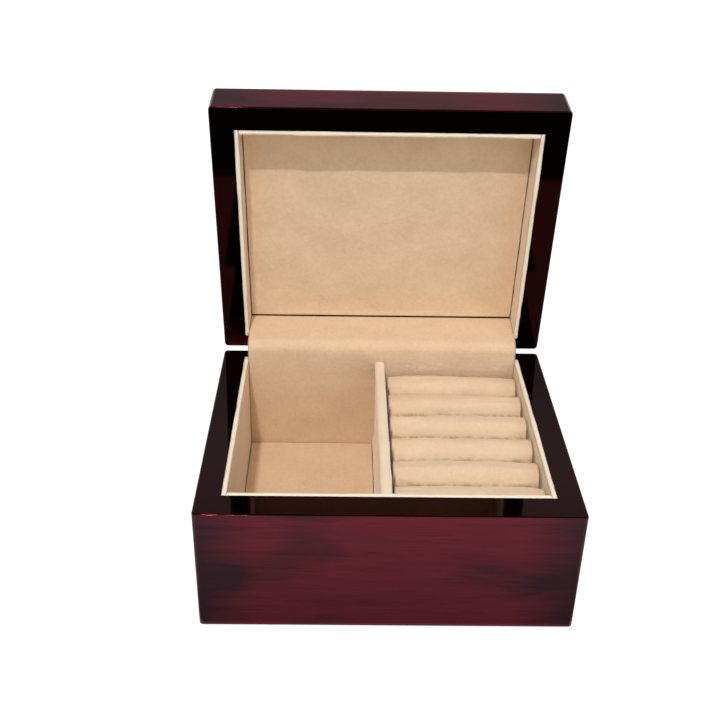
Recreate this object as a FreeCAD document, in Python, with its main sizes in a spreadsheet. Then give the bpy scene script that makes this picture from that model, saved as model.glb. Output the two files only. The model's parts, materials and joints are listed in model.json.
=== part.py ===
import FreeCAD, Part
import os
import Sketcher

# Lacquered wooden ring box: a deep base and a shallow lid on two brass stop hinges.
# The base holds an open compartment on the left and a row of ring rolls on the right.
#
# Frame: X to the right, Y to the back, Z up, in millimetres. The origin is the centre
# of the underside of the base. The lid pieces are drawn closed, in the place where they
# lie on the base, and their Placement then turns them about the hinge axis to the angle
# at which the hinges stop them.
#
# Pieces of the base
#   four mitred walls with a rebate for the bottom panel, and a felt under the panel
#   card linings wrapped in velour, a floor pad and a divider
#   ring insert: folded card riser, card board and six padded rolls
#   two hinge leaves with their pins and screws
# Pieces of the lid
#   four mitred rails, a top panel, card linings, a padded ceiling
#   two hinge leaves with stop heels, and their screws
# One velour cloth lines the back of both halves and crosses the hinge.

SIZES = (
    ("box_width", 178.8, "outside width"),
    ("box_depth", 146.6, "outside depth"),
    ("base_height", 67.7, "from the ground to the rim of the base"),
    ("lid_height", 23.3, "from the rim of the lid to its top"),
    ("closed_gap", 0.6, "gap between the two rims when the lid is shut"),
    ("open_angle", 82.6, "angle at which the hinges stop the lid"),
    ("side_wall", 12.0, "left and right walls and rails"),
    ("front_wall", 13.8, "front wall of the base"),
    ("lid_front_wall", 12.4, "front rail of the lid"),
    ("back_wall", 7.8, "back wall and back rail"),
    ("corner_round", 2.2, "radius of the upright corners"),
    ("rim_round", 0.9, "radius along the rims"),
    ("foot_chamfer", 0.5, "chamfer round the foot"),
    ("lid_edge_round", 1.8, "radius round the top of the lid"),
    ("bottom_thickness", 6.0, "bottom panel"),
    ("rebate_width", 5.0, "rebate in the walls for the bottom panel"),
    ("panel_clearance", 0.2, "play of the bottom panel in its rebate"),
    ("top_thickness", 4.0, "top panel of the lid"),
    ("felt_thickness", 0.8, "felt under the base"),
    ("felt_inset", 3.0, "felt edge inside the foot"),
    ("lining_thickness", 2.2, "card with its velour"),
    ("lip_proud", 0.2, "lining above the rim"),
    ("lip_round", 1.2, "rounding of the open edge of a lining lip"),
    ("cloth_thickness", 0.6, "velour cloth of the back"),
    ("hinge_ridge", 1.5, "rim left whole behind the cloth recess"),
    ("floor_pad_thickness", 4.4, "floor pad of the compartment"),
    ("floor_pad_gap", 0.3, "play round the floor pad"),
    ("ceiling_pad_thickness", 2.8, "padded ceiling of the lid"),
    ("ceiling_pad_gap", 1.0, "gap round the padded ceiling"),
    ("pad_round", 1.3, "rounding of the pads"),
    ("divider_thickness", 5.4, "divider"),
    ("divider_offset", 1.2, "middle of the divider left of the middle of the box"),
    ("divider_drop", 0.5, "top of the divider below the rim"),
    ("divider_round", 2.0, "rounding of the divider top"),
    ("roll_drop", 5.5, "crest of the ring rolls below the rim"),
    ("roll_slit", 0.4, "slit between two ring rolls"),
    ("roll_skirt", 8.3, "straight sides of a roll below its round crest"),
    ("roll_gap_left", 1.8, "gap between the divider and the ring insert"),
    ("roll_gap_right", 1.0, "gap between the ring insert and the right lining"),
    ("insert_play", 0.3, "play of the ring insert front and back"),
    ("insert_board", 2.0, "board under the ring rolls"),
    ("riser_card", 1.5, "folded card of the riser"),
    ("hinge_inset", 40.0, "middle of a hinge inside the side of the box"),
    ("leaf_length", 30.0, "hinge leaf along the rim"),
    ("leaf_depth", 6.2, "hinge leaf across the rim"),
    ("leaf_thickness", 1.0, "hinge leaf"),
    ("leaf_play", 0.1, "play of a leaf in its mortise"),
    ("axis_setback", 1.2, "hinge axis behind the back face"),
    ("knuckle_radius", 1.6, "outside of the hinge barrel"),
    ("knuckle_gap", 0.1, "play between two knuckles along the pin"),
    ("swing_gap", 0.15, "play between a knuckle and the other leaf"),
    ("pin_radius", 0.7, "hinge pin"),
    ("pin_play", 0.05, "running play of the lid knuckles on the pin"),
    ("tab_thickness", 0.8, "stop tab let into the back face"),
    ("tab_height", 5.2, "stop tab below the leaf top"),
    ("heel_length", 3.3, "stop heel below the hinge axis when open"),
    ("heel_back", 1.1, "stop heel behind the hinge axis when open"),
    ("stop_gap", 0.05, "play between the heel and the tab at the stop"),
    ("screw_spacing", 18.0, "between the two screws of a leaf"),
    ("screw_inset", 3.7, "screw line inside the back face"),
    ("screw_length", 7.0, "screw with its head"),
    ("screw_shank", 0.7, "radius of the shank"),
)
ROLL_COUNT = 6
BASE_KNUCKLES = 2          # knuckles of a base leaf; those of the lid leaf lie between them
LID_KNUCKLES = 1
MITRE_RUN_OUT = 2.0        # a mitre cut runs this far past the end of the stock
ROUND_SHARE = 0.45         # most of a thickness that each of two facing roundings may take
LIP_SHARE = 0.9            # most of a lining's thickness that its one rounded edge may take
HAIR = 0.000001            # two lengths closer than this are equal

doc = FreeCAD.newDocument("ring_box")
sheet = doc.addObject("Spreadsheet::Sheet", "Sizes")
for row, (alias, size, meaning) in enumerate(SIZES, start=1):
    sheet.set(f"A{row}", alias)
    sheet.set(f"B{row}", str(size))
    sheet.set(f"C{row}", meaning)
    sheet.setAlias(f"B{row}", alias)
doc.recompute()

# ---------------------------------------------------------------- lengths built from the sizes
HALF_WIDTH = "Sizes.box_width / 2"
HALF_DEPTH = "Sizes.box_depth / 2"
BASE_RIM = "Sizes.base_height"
FOOT = "Sizes.felt_thickness"
FLOOR = f"({FOOT} + Sizes.bottom_thickness)"
LID_RIM = "(Sizes.base_height + Sizes.closed_gap)"
LID_TOP = f"({LID_RIM} + Sizes.lid_height)"
RAIL_TOP = f"({LID_TOP} - Sizes.top_thickness)"
INNER_X = f"({HALF_WIDTH} - Sizes.side_wall)"
INNER_BACK = f"({HALF_DEPTH} - Sizes.back_wall)"
INNER_FRONT = f"(-{HALF_DEPTH} + Sizes.front_wall)"
LID_INNER_FRONT = f"(-{HALF_DEPTH} + Sizes.lid_front_wall)"
LINED_X = f"({INNER_X} - Sizes.lining_thickness)"
LINED_FRONT = f"({INNER_FRONT} + Sizes.lining_thickness)"
LID_LINED_FRONT = f"({LID_INNER_FRONT} + Sizes.lining_thickness)"
LINED_BACK = f"({INNER_BACK} - Sizes.lining_thickness)"
CARD_FACE = f"({LINED_BACK} + Sizes.cloth_thickness)"
BASE_RECESS = f"({BASE_RIM} - Sizes.cloth_thickness)"
LID_RECESS = f"({LID_RIM} + Sizes.cloth_thickness)"
RIDGE_FRONT = f"({HALF_DEPTH} - Sizes.hinge_ridge)"
AXIS_Y = f"({HALF_DEPTH} + Sizes.axis_setback)"
AXIS_Z = "(Sizes.base_height + Sizes.closed_gap / 2)"
DIVIDER_LEFT = "(-Sizes.divider_offset - Sizes.divider_thickness / 2)"
DIVIDER_RIGHT = "(-Sizes.divider_offset + Sizes.divider_thickness / 2)"
INSERT_LEFT = f"({DIVIDER_RIGHT} + Sizes.roll_gap_left)"
INSERT_RIGHT = f"({LINED_X} - Sizes.roll_gap_right)"
INSERT_FRONT = f"({LINED_FRONT} + Sizes.insert_play)"
INSERT_BACK = f"({LINED_BACK} - Sizes.insert_play)"
ROLL_PITCH = f"(({INSERT_BACK} - {INSERT_FRONT}) / {ROLL_COUNT})"
ROLL_RADIUS = f"(({ROLL_PITCH} - Sizes.roll_slit) / 2)"
ROLL_CENTRE = f"({BASE_RIM} - Sizes.roll_drop - {ROLL_RADIUS})"
BOARD_TOP = f"({ROLL_CENTRE} - Sizes.roll_skirt)"
RISER_TOP = f"({BOARD_TOP} - Sizes.insert_board)"
HINGE_X = f"({HALF_WIDTH} - Sizes.hinge_inset)"
KNUCKLE = f"(Sizes.leaf_length / {BASE_KNUCKLES + LID_KNUCKLES})"
BARREL_START = "(-Sizes.leaf_length / 2)"
HALF_SEAT = "(Sizes.leaf_length / 2 + Sizes.leaf_play)"

# A screw head is as deep as its leaf and widens at 45 degrees.
HEAD_TAPER = -45.0
HEAD_RADIUS = "(Sizes.screw_shank + Sizes.leaf_thickness)"

# The lid turns about the hinge axis from the place where it was drawn to where it rests.
# x is the shift of the piece along the axis.
OPENED = (
    "placement(vector({x}; 0; 0); rotation(vector(1; 0; 0); -Sizes.open_angle);"
    f" vector(0; {AXIS_Y}; {AXIS_Z}))"
)


# ---------------------------------------------------------------- drawing helpers
def number(expression):
    """Value of an expression of the sheet, as a plain number."""
    return float(sheet.evalExpression(expression))


def new_body(label, placement=None):
    """A body whose label is its file name; placement is an expression."""
    body = doc.addObject("PartDesign::Body", label)
    body.Label = label
    if placement is not None:
        body.setExpression("Placement", placement)
    return body


def origin_feature(body, role):
    """The body's own origin plane or axis with this role."""
    return next(item for item in body.Origin.OriginFeatures if item.Role == role)


def new_sketch(body, name, role="XY_Plane", offset="0"):
    """A sketch on one of the body's origin planes, shifted along the plane's normal."""
    sketch = body.newObject("Sketcher::SketchObject", name)
    sketch.AttachmentSupport = [(origin_feature(body, role), "")]
    sketch.MapMode = "FlatFace"
    sketch.setExpression("AttachmentOffset.Base.z", offset)
    return sketch


def bind(sketch, kind, geometry, point, expression):
    """Tie one coordinate of a sketch point to an expression."""
    index = sketch.addConstraint(
        Sketcher.Constraint(kind, -1, 1, geometry, point, number(expression)))
    sketch.setExpression(f"Constraints[{index}]", expression)


def draw_outline(sketch, corners):
    """A closed outline of straight lines through corners given as pairs of expressions."""
    places = [FreeCAD.Vector(number(x), number(y), 0) for x, y in corners]
    first = sketch.GeometryCount
    count = len(corners)
    for index, place in enumerate(places):
        sketch.addGeometry(Part.LineSegment(place, places[(index + 1) % count]))
    for index in range(count):
        following = first + (index + 1) % count
        sketch.addConstraint(Sketcher.Constraint("Coincident", first + index, 2, following, 1))
    for index, (x, y) in enumerate(corners):
        bind(sketch, "DistanceX", first + index, 1, x)
        bind(sketch, "DistanceY", first + index, 1, y)


def draw_rectangle(sketch, left, low, right, high):
    """A rectangle between two corners given as expressions."""
    draw_outline(sketch, ((left, low), (right, low), (right, high), (left, high)))


def draw_circle(sketch, x, y, radius):
    """A circle with its centre and radius given as expressions."""
    centre = FreeCAD.Vector(number(x), number(y), 0)
    index = sketch.addGeometry(
        Part.Circle(centre, FreeCAD.Vector(0, 0, 1), number(radius)))
    bind(sketch, "DistanceX", index, 3, x)
    bind(sketch, "DistanceY", index, 3, y)
    size = sketch.addConstraint(Sketcher.Constraint("Radius", index, number(radius)))
    sketch.setExpression(f"Constraints[{size}]", radius)


def pad(body, sketch, length, name, both_ways=False):
    """Pad a sketch along its normal, or half to each side."""
    feature = body.newObject("PartDesign::Pad", name)
    feature.Profile = sketch
    feature.setExpression("Length", length)
    if both_ways:
        feature.SideType = "Symmetric"
    doc.recompute()
    return feature


def pocket(body, sketch, name, depth=None, along_normal=False):
    """Cut a sketch against its normal or along it; with no depth it cuts right through."""
    before = body.Shape.Volume
    feature = body.newObject("PartDesign::Pocket", name)
    feature.Profile = sketch
    if depth is None:
        feature.Type = "ThroughAll"
    else:
        feature.setExpression("Length", depth)
    feature.Reversed = along_normal
    doc.recompute()
    if body.Shape.Volume > before - HAIR:
        raise RuntimeError(f"{body.Label}: {name} cuts nothing")
    return feature


def row_along_x(body, originals, name, pitch, count):
    """Repeat features in a row along X; one alone needs no pattern."""
    if count == 1:
        return
    row_of = body.newObject("PartDesign::LinearPattern", name)
    row_of.Originals = originals
    row_of.Direction = (origin_feature(body, "X_Axis"), [""])
    row_of.setExpression("Length", f"{count - 1} * {pitch}")
    row_of.Occurrences = count
    body.Tip = row_of
    doc.recompute()


def ease_edges(body, name, kind, dimension, size, chosen):
    """Fillet or chamfer the edges of the body for which chosen(edge) is true."""
    base = body.Tip
    names = [f"Edge{index}" for index, edge in enumerate(base.Shape.Edges, start=1)
             if chosen(edge)]
    if not names:
        raise RuntimeError(f"{body.Label}: {name} finds no edge")
    feature = body.newObject(f"PartDesign::{kind}", name)
    feature.Base = (base, names)
    feature.setExpression(dimension, size)
    doc.recompute()


def round_edges(body, name, radius, chosen):
    """Fillet the chosen edges."""
    ease_edges(body, name, "Fillet", "Radius", radius, chosen)


def chamfer_edges(body, name, size, chosen):
    """Chamfer the chosen edges."""
    ease_edges(body, name, "Chamfer", "Size", size, chosen)


def level(edge, height):
    """True for an edge that lies flat at this height."""
    box = edge.BoundBox
    return abs(box.ZMin - height) < HAIR and abs(box.ZMax - height) < HAIR


def runs_along(edge, axis):
    """True for a straight edge that runs along this axis."""
    box = edge.BoundBox
    lengths = {"X": box.XLength, "Y": box.YLength, "Z": box.ZLength}
    return lengths.pop(axis) > HAIR and max(lengths.values()) < HAIR


def upright(edge):
    """True for an edge that runs straight up."""
    return runs_along(edge, "Z")


def lies_on(edge, axis, place):
    """True for an edge that lies in the plane where this coordinate has this value."""
    low = getattr(edge.BoundBox, axis + "Min")
    high = getattr(edge.BoundBox, axis + "Max")
    return abs(low - place) < HAIR and abs(high - place) < HAIR


def place(shape, x, y, z):
    """Bind the place of a primitive to expressions."""
    shape.setExpression("Placement.Base.x", x)
    shape.setExpression("Placement.Base.y", y)
    shape.setExpression("Placement.Base.z", z)


def block(label, left, front, low, right, back, high, placement=None):
    """A body that starts as a plain block between two corners."""
    body = new_body(label, placement)
    plan = new_sketch(body, label + "_plan", offset=low)
    draw_rectangle(plan, left, front, right, back)
    pad(body, plan, f"{high} - {low}", label + "_block")
    return body


# ---------------------------------------------------------------- mitred walls and rails
def frame_member(prefix, side, part, low, high, front_inner, rim, foot=None, placement=None):
    """One mitred side of the base or the lid.

    The stock is squared, its outer corners and its outer edge along the rim are rounded,
    its foot is chamfered, and then both ends are mitred from the outer to the inner corner
    of the frame. rim and foot are the heights of those edges.
    """
    label = f"{prefix}_{side}_{part}"
    outer = {"left": f"-{HALF_WIDTH}", "right": HALF_WIDTH,
             "front": f"-{HALF_DEPTH}", "back": HALF_DEPTH}
    inner = {"left": f"-{INNER_X}", "right": INNER_X,
             "front": front_inner, "back": INNER_BACK}
    opposite = {"left": "right", "right": "left", "front": "back", "back": "front"}
    outward = {"left": "-", "right": "+", "front": "-", "back": "+"}
    across = side in ("front", "back")
    edges = dict(outer)
    edges[opposite[side]] = inner[side]
    body = block(label, edges["left"], edges["front"], low,
                 edges["right"], edges["back"], high, placement)

    axis = "Y" if across else "X"
    inside = number(inner[side])
    round_edges(body, label + "_corners", "Sizes.corner_round",
                lambda edge: upright(edge) and not lies_on(edge, axis, inside))
    round_edges(body, label + "_rim", "Sizes.rim_round",
                lambda edge: level(edge, number(rim)) and not lies_on(edge, axis, inside))
    if foot is not None:
        chamfer_edges(body, label + "_foot", "Sizes.foot_chamfer",
                      lambda edge: level(edge, number(foot))
                      and not lies_on(edge, axis, inside))

    mitre = new_sketch(body, label + "_mitre", offset=low)
    for end in (("left", "right") if across else ("front", "back")):
        waste = ((outer[end], outer[side]),
                 (inner[end], inner[side]),
                 (f"{outer[end]} {outward[end]} {MITRE_RUN_OUT}",
                  f"{inner[side]} {outward[opposite[side]]} {MITRE_RUN_OUT}"))
        draw_outline(mitre, waste if across else [(x, y) for y, x in waste])
    pocket(body, mitre, label + "_mitres", along_normal=True)
    return body


def cut_panel_rebate(body):
    """Rebate in the foot of a wall for the bottom panel."""
    rebate = new_sketch(body, body.Label + "_rebate", offset=FOOT)
    draw_rectangle(rebate,
                   f"-{INNER_X} - Sizes.rebate_width", f"{INNER_FRONT} - Sizes.rebate_width",
                   f"{INNER_X} + Sizes.rebate_width", f"{INNER_BACK} + Sizes.rebate_width")
    pocket(body, rebate, body.Label + "_rebate_cut", "Sizes.bottom_thickness",
           along_normal=True)


def cut_cloth_recess(body, rim, upward):
    """Shallow recess in a back rim, into which the cloth folds when the lid is shut."""
    recess = new_sketch(body, body.Label + "_cloth_recess", offset=rim)
    draw_rectangle(recess, f"-{LINED_X}", LINED_BACK, LINED_X, RIDGE_FRONT)
    pocket(body, recess, body.Label + "_cloth_recess_cut", "Sizes.cloth_thickness",
           along_normal=upward)


def cut_hinge_mortises(body, rim, upward):
    """Mortises for two leaves, open at the back, and the pilot holes of their screws."""
    seat = new_sketch(body, body.Label + "_leaf_seats", offset=rim)
    pilots = new_sketch(body, body.Label + "_pilots", offset=rim)
    for middle in (f"-{HINGE_X}", HINGE_X):
        draw_rectangle(seat,
                       f"{middle} - {HALF_SEAT}",
                       f"{HALF_DEPTH} - Sizes.leaf_depth - Sizes.leaf_play",
                       f"{middle} + {HALF_SEAT}",
                       f"{HALF_DEPTH} + Sizes.axis_setback")
        for step in ("-", "+"):
            draw_circle(pilots, f"{middle} {step} Sizes.screw_spacing / 2",
                        f"{HALF_DEPTH} - Sizes.screw_inset", "Sizes.screw_shank")
    pocket(body, seat, body.Label + "_leaf_seat_cut",
           "Sizes.cloth_thickness + Sizes.leaf_thickness", along_normal=upward)
    pocket(body, pilots, body.Label + "_pilot_holes",
           "Sizes.cloth_thickness + Sizes.screw_length", along_normal=upward)


def cut_tab_mortises(body):
    """Mortises in the back face for the stop tabs of the base leaves."""
    seat = new_sketch(body, body.Label + "_tab_seats", "XZ_Plane", f"-{HALF_DEPTH}")
    for middle in (f"-{HINGE_X}", HINGE_X):
        draw_rectangle(seat, f"{middle} - {HALF_SEAT}",
                       f"{BASE_RECESS} - Sizes.tab_height - Sizes.leaf_play",
                       f"{middle} + {HALF_SEAT}", BASE_RIM)
    pocket(body, seat, body.Label + "_tab_seat_cut", "Sizes.tab_thickness",
           along_normal=True)


for wall_side in ("front", "back", "left", "right"):
    wall = frame_member("base", wall_side, "wall", FOOT, BASE_RIM, INNER_FRONT,
                        rim=BASE_RIM, foot=FOOT)
    cut_panel_rebate(wall)
    if wall_side == "back":
        cut_cloth_recess(wall, BASE_RIM, upward=False)
        cut_hinge_mortises(wall, BASE_RIM, upward=False)
        cut_tab_mortises(wall)

for rail_side in ("front", "back", "left", "right"):
    rail = frame_member("lid", rail_side, "rail", LID_RIM, RAIL_TOP, LID_INNER_FRONT,
                        rim=LID_RIM, placement=OPENED.format(x="0"))
    if rail_side == "back":
        cut_cloth_recess(rail, LID_RIM, upward=True)
        cut_hinge_mortises(rail, LID_RIM, upward=True)


# ---------------------------------------------------------------- panels and felt
def bottom_panel():
    """Bottom panel, seated against the shoulders of the rebates."""
    reach = "Sizes.rebate_width - Sizes.panel_clearance"
    block("base_bottom_panel",
          f"-{INNER_X} - ({reach})", f"{INNER_FRONT} - ({reach})", FOOT,
          f"{INNER_X} + ({reach})", f"{INNER_BACK} + ({reach})", FLOOR)


def underside_felt():
    """Felt sheet under the whole base, on which the box stands."""
    block("base_underside_felt",
          f"-{HALF_WIDTH} + Sizes.felt_inset", f"-{HALF_DEPTH} + Sizes.felt_inset", "0",
          f"{HALF_WIDTH} - Sizes.felt_inset", f"{HALF_DEPTH} - Sizes.felt_inset", FOOT)


def top_panel():
    """Top panel of the lid, glued on the rails and rounded all round."""
    panel = block("lid_top_panel", f"-{HALF_WIDTH}", f"-{HALF_DEPTH}", RAIL_TOP,
                  HALF_WIDTH, HALF_DEPTH, LID_TOP, OPENED.format(x="0"))
    round_edges(panel, "top_corners", "Sizes.corner_round", upright)
    round_edges(panel, "top_edge", "Sizes.lid_edge_round",
                lambda edge: level(edge, number(LID_TOP)))


bottom_panel()
underside_felt()
top_panel()


# ---------------------------------------------------------------- linings
def lining(label, left, front, low, right, back, high, open_side, lip, placement):
    """A lining panel whose lip, at the height lip, is rounded towards its open side.

    open_side is the axis across the panel and the place of its open face along it.
    """
    panel = block(label, left, front, low, right, back, high, placement)
    axis, face = open_side
    round_edges(panel, label + "_lip",
                f"min(Sizes.lip_round; Sizes.lining_thickness * {LIP_SHARE})",
                lambda edge: level(edge, number(lip)) and lies_on(edge, axis, number(face)))


def line_half(prefix, low, high, lip, front_inner, front_lined, back_low, back_high, placement):
    """Front, left, right and back linings of the base or the lid."""
    lining(f"{prefix}_lining_left", f"-{INNER_X}", front_inner, low,
           f"-{LINED_X}", INNER_BACK, high, ("X", f"-{LINED_X}"), lip, placement)
    lining(f"{prefix}_lining_right", LINED_X, front_inner, low,
           INNER_X, INNER_BACK, high, ("X", LINED_X), lip, placement)
    lining(f"{prefix}_lining_front", f"-{LINED_X}", front_inner, low,
           LINED_X, front_lined, high, ("Y", front_lined), lip, placement)
    block(f"{prefix}_lining_back", f"-{LINED_X}", CARD_FACE, back_low,
          LINED_X, INNER_BACK, back_high, placement)


BASE_LIP = f"({BASE_RIM} + Sizes.lip_proud)"
LID_LIP = f"({LID_RIM} - Sizes.lip_proud)"
line_half("base", FLOOR, BASE_LIP, BASE_LIP, INNER_FRONT, LINED_FRONT,
          FLOOR, BASE_RECESS, None)
line_half("lid", LID_LIP, RAIL_TOP, LID_LIP, LID_INNER_FRONT, LID_LINED_FRONT,
          LID_RECESS, RAIL_TOP, OPENED.format(x="0"))


def compartment_floor_pad():
    """Padded floor of the left compartment, softly rounded on top."""
    top = f"({FLOOR} + Sizes.floor_pad_thickness)"
    padded = block("compartment_floor_pad",
                   f"-{LINED_X} + Sizes.floor_pad_gap", f"{LINED_FRONT} + Sizes.floor_pad_gap",
                   FLOOR,
                   f"{DIVIDER_LEFT} - Sizes.floor_pad_gap", f"{LINED_BACK} - Sizes.floor_pad_gap",
                   top)
    round_edges(padded, "floor_pad_edge", "Sizes.pad_round",
                lambda edge: level(edge, number(top)))


def ceiling_pad():
    """Padded ceiling of the lid, with a narrow gap to the linings round it."""
    face = f"({RAIL_TOP} - Sizes.ceiling_pad_thickness)"
    padded = block("lid_ceiling_pad",
                   f"-{LINED_X} + Sizes.ceiling_pad_gap",
                   f"{LID_LINED_FRONT} + Sizes.ceiling_pad_gap", face,
                   f"{LINED_X} - Sizes.ceiling_pad_gap",
                   f"{LINED_BACK} - Sizes.ceiling_pad_gap", RAIL_TOP,
                   OPENED.format(x="0"))
    round_edges(padded, "ceiling_pad_edge", "Sizes.pad_round",
                lambda edge: level(edge, number(face)))


def compartment_divider():
    """Wrapped divider from the front lining to the back cloth, rounded on top."""
    top = f"({BASE_RIM} - Sizes.divider_drop)"
    divider = block("compartment_divider", DIVIDER_LEFT, LINED_FRONT, FLOOR,
                    DIVIDER_RIGHT, LINED_BACK, top)
    round_edges(divider, "divider_top",
                f"min(Sizes.divider_round; Sizes.divider_thickness * {ROUND_SHARE})",
                lambda edge: level(edge, number(top)) and runs_along(edge, "Y"))


compartment_floor_pad()
ceiling_pad()
compartment_divider()


# ---------------------------------------------------------------- ring insert
def ring_insert_riser():
    """Folded card box, open below, that lifts the ring rolls near the rim."""
    riser = block("ring_insert_riser", INSERT_LEFT, INSERT_FRONT, FLOOR,
                  INSERT_RIGHT, INSERT_BACK, RISER_TOP)
    hollow = new_sketch(riser, "riser_hollow", offset=FLOOR)
    draw_rectangle(hollow,
                   f"{INSERT_LEFT} + Sizes.riser_card", f"{INSERT_FRONT} + Sizes.riser_card",
                   f"{INSERT_RIGHT} - Sizes.riser_card", f"{INSERT_BACK} - Sizes.riser_card")
    pocket(riser, hollow, "riser_hollow_cut", f"{RISER_TOP} - {FLOOR} - Sizes.riser_card",
           along_normal=True)


def ring_roll(number_in_row):
    """One padded roll along X: a half-round crest on straight sides, glued to the board."""
    label = f"ring_roll_{number_in_row}"
    middle = f"({INSERT_FRONT} + {ROLL_PITCH} * ({number_in_row} - 0.5))"
    front = f"{middle} - {ROLL_RADIUS}"
    back = f"{middle} + {ROLL_RADIUS}"
    roll = new_body(label)
    profile = new_sketch(roll, label + "_profile", "YZ_Plane", INSERT_LEFT)

    def point(y, z):
        return FreeCAD.Vector(number(y), number(z), 0)

    crest = point(middle, f"{ROLL_CENTRE} + {ROLL_RADIUS}")
    corners = (point(front, ROLL_CENTRE), point(front, BOARD_TOP),
               point(back, BOARD_TOP), point(back, ROLL_CENTRE))
    profile.addGeometry(Part.Arc(corners[-1], crest, corners[0]))
    for start, end in zip(corners, corners[1:]):
        profile.addGeometry(Part.LineSegment(start, end))
    for index in range(len(corners)):
        following = (index + 1) % len(corners)
        profile.addConstraint(Sketcher.Constraint("Coincident", index, 2, following, 1))
    bind(profile, "DistanceX", 0, 3, middle)
    bind(profile, "DistanceY", 0, 3, ROLL_CENTRE)
    bind(profile, "DistanceY", 1, 1, ROLL_CENTRE)
    bind(profile, "DistanceX", 2, 1, front)
    bind(profile, "DistanceY", 2, 1, BOARD_TOP)
    bind(profile, "DistanceX", 3, 1, back)
    bind(profile, "DistanceY", 3, 1, BOARD_TOP)
    bind(profile, "DistanceY", 3, 2, ROLL_CENTRE)
    size = profile.addConstraint(Sketcher.Constraint("Radius", 0, number(ROLL_RADIUS)))
    profile.setExpression(f"Constraints[{size}]", ROLL_RADIUS)
    pad(roll, profile, f"{INSERT_RIGHT} - {INSERT_LEFT}", label + "_bar")


ring_insert_riser()
block("ring_insert_board", INSERT_LEFT, INSERT_FRONT, RISER_TOP,
      INSERT_RIGHT, INSERT_BACK, BOARD_TOP)
for roll_number in range(1, ROLL_COUNT + 1):
    ring_roll(roll_number)


# ---------------------------------------------------------------- stop hinges
def clear_other_knuckles(leaf, first, count, length):
    """Round clearance in the plate where the other leaf's knuckles turn."""
    label = leaf.Label
    swing = new_sketch(leaf, label + "_swing", "YZ_Plane", first)
    draw_circle(swing, AXIS_Y, AXIS_Z, "Sizes.knuckle_radius + Sizes.swing_gap")
    swing_cut = pocket(leaf, swing, label + "_swing_cut", length, along_normal=True)
    row_along_x(leaf, [swing_cut], label + "_swing_row", f"2 * {KNUCKLE}", count)


def add_knuckles(leaf, first, count, length, plate_low, plate_high, bore, heel=None):
    """Knuckles of one leaf: barrel sections and the webs that join them to the plate.

    first is the x at which the first knuckle starts. Every second knuckle of the barrel
    belongs to this leaf. bore is the radius of the pin hole, and heel is the outline of
    the stop heel that stands on each knuckle.
    """
    label = leaf.Label
    web = new_sketch(leaf, label + "_web", "YZ_Plane", first)
    draw_rectangle(web, f"{HALF_DEPTH} - Sizes.leaf_thickness", plate_low, AXIS_Y, plate_high)
    barrel = new_sketch(leaf, label + "_barrel", "YZ_Plane", first)
    draw_circle(barrel, AXIS_Y, AXIS_Z, "Sizes.knuckle_radius")
    raised = [pad(leaf, web, length, label + "_web_pad"),
              pad(leaf, barrel, length, label + "_knuckle")]
    if heel is not None:
        heel_section = new_sketch(leaf, label + "_heel_section", "YZ_Plane", first)
        draw_outline(heel_section, heel)
        raised.append(pad(leaf, heel_section, length, label + "_heel"))
    row_along_x(leaf, raised, label + "_knuckle_row", f"2 * {KNUCKLE}", count)
    pin_hole = new_sketch(leaf, label + "_pin_bore", "YZ_Plane", "-Sizes.leaf_length")
    draw_circle(pin_hole, AXIS_Y, AXIS_Z, bore)
    pocket(leaf, pin_hole, label + "_pin_hole", along_normal=True)


def sink_screw_holes(leaf, face, upward):
    """Two countersunk holes through the plate, sunk from the face that the cloth covers."""
    sinks = new_sketch(leaf, leaf.Label + "_screw_places", offset=face)
    for step in ("-", ""):
        draw_circle(sinks, f"{step}Sizes.screw_spacing / 2",
                    f"{HALF_DEPTH} - Sizes.screw_inset", HEAD_RADIUS)
    cut = pocket(leaf, sinks, leaf.Label + "_countersinks", "Sizes.leaf_thickness",
                 along_normal=upward)
    cut.TaperAngle = HEAD_TAPER
    doc.recompute()


def base_leaf(label, middle):
    """Leaf let into the base: plate, stop tab down the back face and its knuckles."""
    leaf = new_body(label, f"placement(vector({middle}; 0; 0); rotation(vector(1; 0; 0); 0))")
    plate_low = f"({BASE_RECESS} - Sizes.leaf_thickness)"
    tab_foot = f"({BASE_RECESS} - Sizes.tab_height)"
    tab_front = f"({HALF_DEPTH} - Sizes.tab_thickness)"
    plate_front = f"({HALF_DEPTH} - Sizes.leaf_depth)"
    section = new_sketch(leaf, label + "_section", "YZ_Plane")
    draw_outline(section, (
        (plate_front, plate_low), (tab_front, plate_low), (tab_front, tab_foot),
        (HALF_DEPTH, tab_foot), (HALF_DEPTH, BASE_RECESS), (plate_front, BASE_RECESS)))
    pad(leaf, section, "Sizes.leaf_length", label + "_plate", both_ways=True)
    clear_other_knuckles(leaf, f"{BARREL_START} + {KNUCKLE}", LID_KNUCKLES, KNUCKLE)
    add_knuckles(leaf, BARREL_START, BASE_KNUCKLES, KNUCKLE, plate_low, BASE_RECESS,
                 "Sizes.pin_radius")
    sink_screw_holes(leaf, BASE_RECESS, upward=False)


def opened_point(ahead, above):
    """Corner that lies ahead of and above the axis when open, in the closed drawing."""
    return (f"{AXIS_Y} + {ahead} * cos(Sizes.open_angle) - ({above}) * sin(Sizes.open_angle)",
            f"{AXIS_Z} + {ahead} * sin(Sizes.open_angle) + ({above}) * cos(Sizes.open_angle)")


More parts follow.
